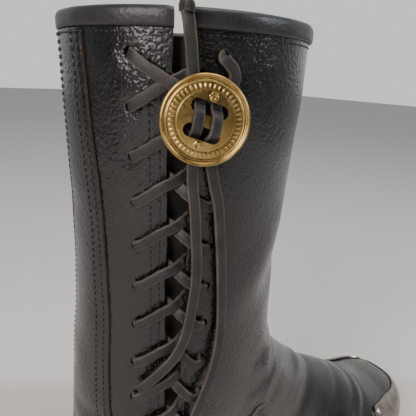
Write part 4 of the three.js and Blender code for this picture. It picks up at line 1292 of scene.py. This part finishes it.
def make_crossings():
    over = 3 * GAP + LACE_THICKNESS / 2
    for k, height in enumerate(HOLE_HEIGHTS):
        wob = math.sin(2.3 * k + 0.6)
        if k == 0:
            rear = [(-HOLE_BACK, height, -3.2), (-HOLE_BACK + 0.3, height - 0.3, -0.4), (-HOLE_BACK + 2.2, height - 1.2, 1.9),
                    (-11.5, height - 4.2, 2.6), (-4, height - 9.0, 3.0), (1, height - 12.0, 3.4), (4.5, height - 15, 3.6)]
            front = [(HOLE_FRONT, height, -3.0), (HOLE_FRONT - 0.2, height + 0.3, -0.2), (HOLE_FRONT - 0.4, height - 0.6, 1.9),
                     (HOLE_FRONT + 2.6, height - 4.5, 3.0), (HOLE_FRONT + 2.8, height - 9, 3.2), (HOLE_FRONT + 0.5, height - 14, 3.2)]
            top = [(9.5, height - 4.5, 3.4), (10.5, height - 0.5, 3.2), (13.2, height + 1.6, 2.4), (HOLE_FRONT, height + 0.5, 0.2),
                   (HOLE_FRONT, height, -3.0)]
            strap_piece("lace_top_strips", [rear, front], ())
            continue
        rise = LACE_RISE + 0.6 * wob
        sag = 2.2 if k in (7, 8) else 0.0
        rear = [(-HOLE_BACK, height, -3.4), (-HOLE_BACK, height, -0.6), (-HOLE_BACK + 1.2, height + 0.05 * rise - 0.2, 1.5),
                (-HOLE_BACK + 6, height + 0.28 * rise, over + 0.5), (-6, height + 0.56 * rise + 0.5, over + 0.8),
                (-2.2, height + 0.74 * rise, over + 0.1), (1.6, height + 0.9 * rise, 0.3), (5.2, height + 1.02 * rise, -3.3)]
        front = [(HOLE_FRONT, height, -3.2), (HOLE_FRONT - 0.1, height, -0.4), (HOLE_FRONT - 1.2, height - 0.1 - 0.4 * sag, 1.6),
                 (HOLE_FRONT - 5, height + 0.1 * rise - sag, over + 0.6), (5, height + 0.34 * rise - 0.5 * sag, over + 0.6),
                 (2, height + 0.52 * rise, over - 0.4), (-1.6, height + 0.72 * rise, -1.6), (-6, height + 0.9 * rise, -4.0)]
        strap_piece(f"lace_strips_{k}", [rear, front], (f"lace_crossing_{k}",))


CONCHO_LOOP = [
    (9, -1.5), (7.2, -1.4), (5.6, -0.2), (4.5, 1.8), (3.3, 3.8), (1.9, 4.6), (0, 4.8),
    (-1.9, 4.6), (-3.3, 3.8), (-4.5, 1.8), (-5.6, -0.2), (-7.2, -1.4), (-9, -1.5),
]


def make_loops():
    middle = math.radians(CONCHO_ANGLE - SLIT_ANGLE) * SHAFT_RADIUS
    for name, side in (("rear", -1), ("front", 1)):
        run = [(middle + side * LOOP_APART + 0.11 * up, CONCHO_HEIGHT + up - 0.9 * side, CONCHO_STAND + out)
               for up, out in CONCHO_LOOP]
        strap_piece(f"concho_strip_{name}", [run], (f"lace_loop_{name}",), LACE_WIDTH - 0.5)


# The stub of the short strip, folded over at the collar's notch.
def make_knot():
    path = spline([(-9.6, -51.6, 325.6), (-10.2, -52.6, 327.6), (-9.7, -53.9, 328.1), (-9.0, -54.3, 326.9), (-9.1, -54.1, 325.4)], 28)
    out = unit(path - np.array([SHAFT_AXIS, 0, 0]) * [1, 0, 0] - np.outer(path[:, 2], [0, 0, 1]))
    rings, edge = strip_rings(path, out, LACE_WIDTH * 0.8, LACE_THICKNESS * 0.9)
    obj = tube("lace_top_fold", rings, [M["lace"], M["lace_edge"]], ring_material=edge)
    sharpen(outward(obj), 50)
    stay(obj, slot="lace_leather")


# Floor and light.
def studio():
    mesh = bpy.data.meshes.new("floor")
    mesh.from_pydata([(-6, -6, 0), (6, -6, 0), (6, 6, 0), (-6, 6, 0)], [], [[0, 1, 2, 3]])
    floor = bpy.data.objects.new("floor", mesh)
    bpy.context.scene.collection.objects.link(floor)
    m, shader = principled("floor_paint", (0.7, 0.68, 0.66), 0.7)
    coords = object_coords(m)
    along = node(m, "ShaderNodeVectorMath", operation="DOT_PRODUCT")
    along.inputs[1].default_value = (0.52, 0.855, 0)
    link(m, coords, along.inputs[0])
    tone = scale_range(m, along.outputs["Value"], 0.0, 1.0, 0.150, 0.172)
    link(m, ramp(m, tone, [(0.0, (0.64, 0.60, 0.565)), (1.0, (0.74, 0.73, 0.715))]), shader.inputs["Base Color"])
    mesh.materials.append(m)
    world = bpy.data.worlds.new("studio")
    bpy.context.scene.world = world
    world.use_nodes = True
    tree = world.node_tree
    back = tree.nodes["Background"]
    back.inputs["Strength"].default_value = 1.0
    where = tree.nodes.new("ShaderNodeTexCoord")
    toward = tree.nodes.new("ShaderNodeVectorMath")
    toward.operation = "DOT_PRODUCT"
    toward.inputs[1].default_value = (0.588, 0.809, 0)
    tree.links.new(where.outputs["Generated"], toward.inputs[0])
    tones = tree.nodes.new("ShaderNodeValToRGB")
    tones.color_ramp.elements[0].position = 0.0
    tones.color_ramp.elements[0].color = (0.045, 0.045, 0.047, 1)
    tones.color_ramp.elements[0].position = 0.42
    tones.color_ramp.elements[1].position = 0.8
    tones.color_ramp.elements[1].color = (0.84, 0.835, 0.82, 1)
    half = tree.nodes.new("ShaderNodeMath")
    half.operation = "MULTIPLY_ADD"
    half.inputs[1].default_value = 0.5
    half.inputs[2].default_value = 0.5
    tree.links.new(toward.outputs["Value"], half.inputs[0])
    tree.links.new(half.outputs[0], tones.inputs["Fac"])
    tree.links.new(tones.outputs["Color"], back.inputs["Color"])

    def area(name, place, target, size, power, color, size_y=None):
        data = bpy.data.lights.new(name, "AREA")
        data.energy = power
        data.color = color
        data.size = size
        if size_y:
            data.shape = "RECTANGLE"
            data.size_y = size_y
        lamp = bpy.data.objects.new(name, data)
        lamp.location = place
        lamp.rotation_euler = (Vector(target) - Vector(place)).to_track_quat("-Z", "Y").to_euler()
        bpy.context.scene.collection.objects.link(lamp)

    area("window_left", (-1.0, -0.45, 0.75), (0, 0, 0.22), 0.55, 15, (1.0, 0.93, 0.90), 0.8)
    area("ceiling", (0.2, -0.3, 1.7), (0.05, 0, 0.1), 1.1, 13, (1.0, 0.98, 0.95))
    area("right_fill", (0.75, -0.85, 0.75), (0.04, 0, 0.2), 0.22, 5, (0.88, 0.94, 1.0), 0.5)


lace_ends()
make_upper()
make_backstay()
make_counter()
make_slit_stitches()
make_binding()
make_gusset()
make_insole()
make_welt()
make_outsole()
make_heel()
make_guard()
make_rivets()
make_concho()
make_loops()
make_crossings()
make_knot()
studio()
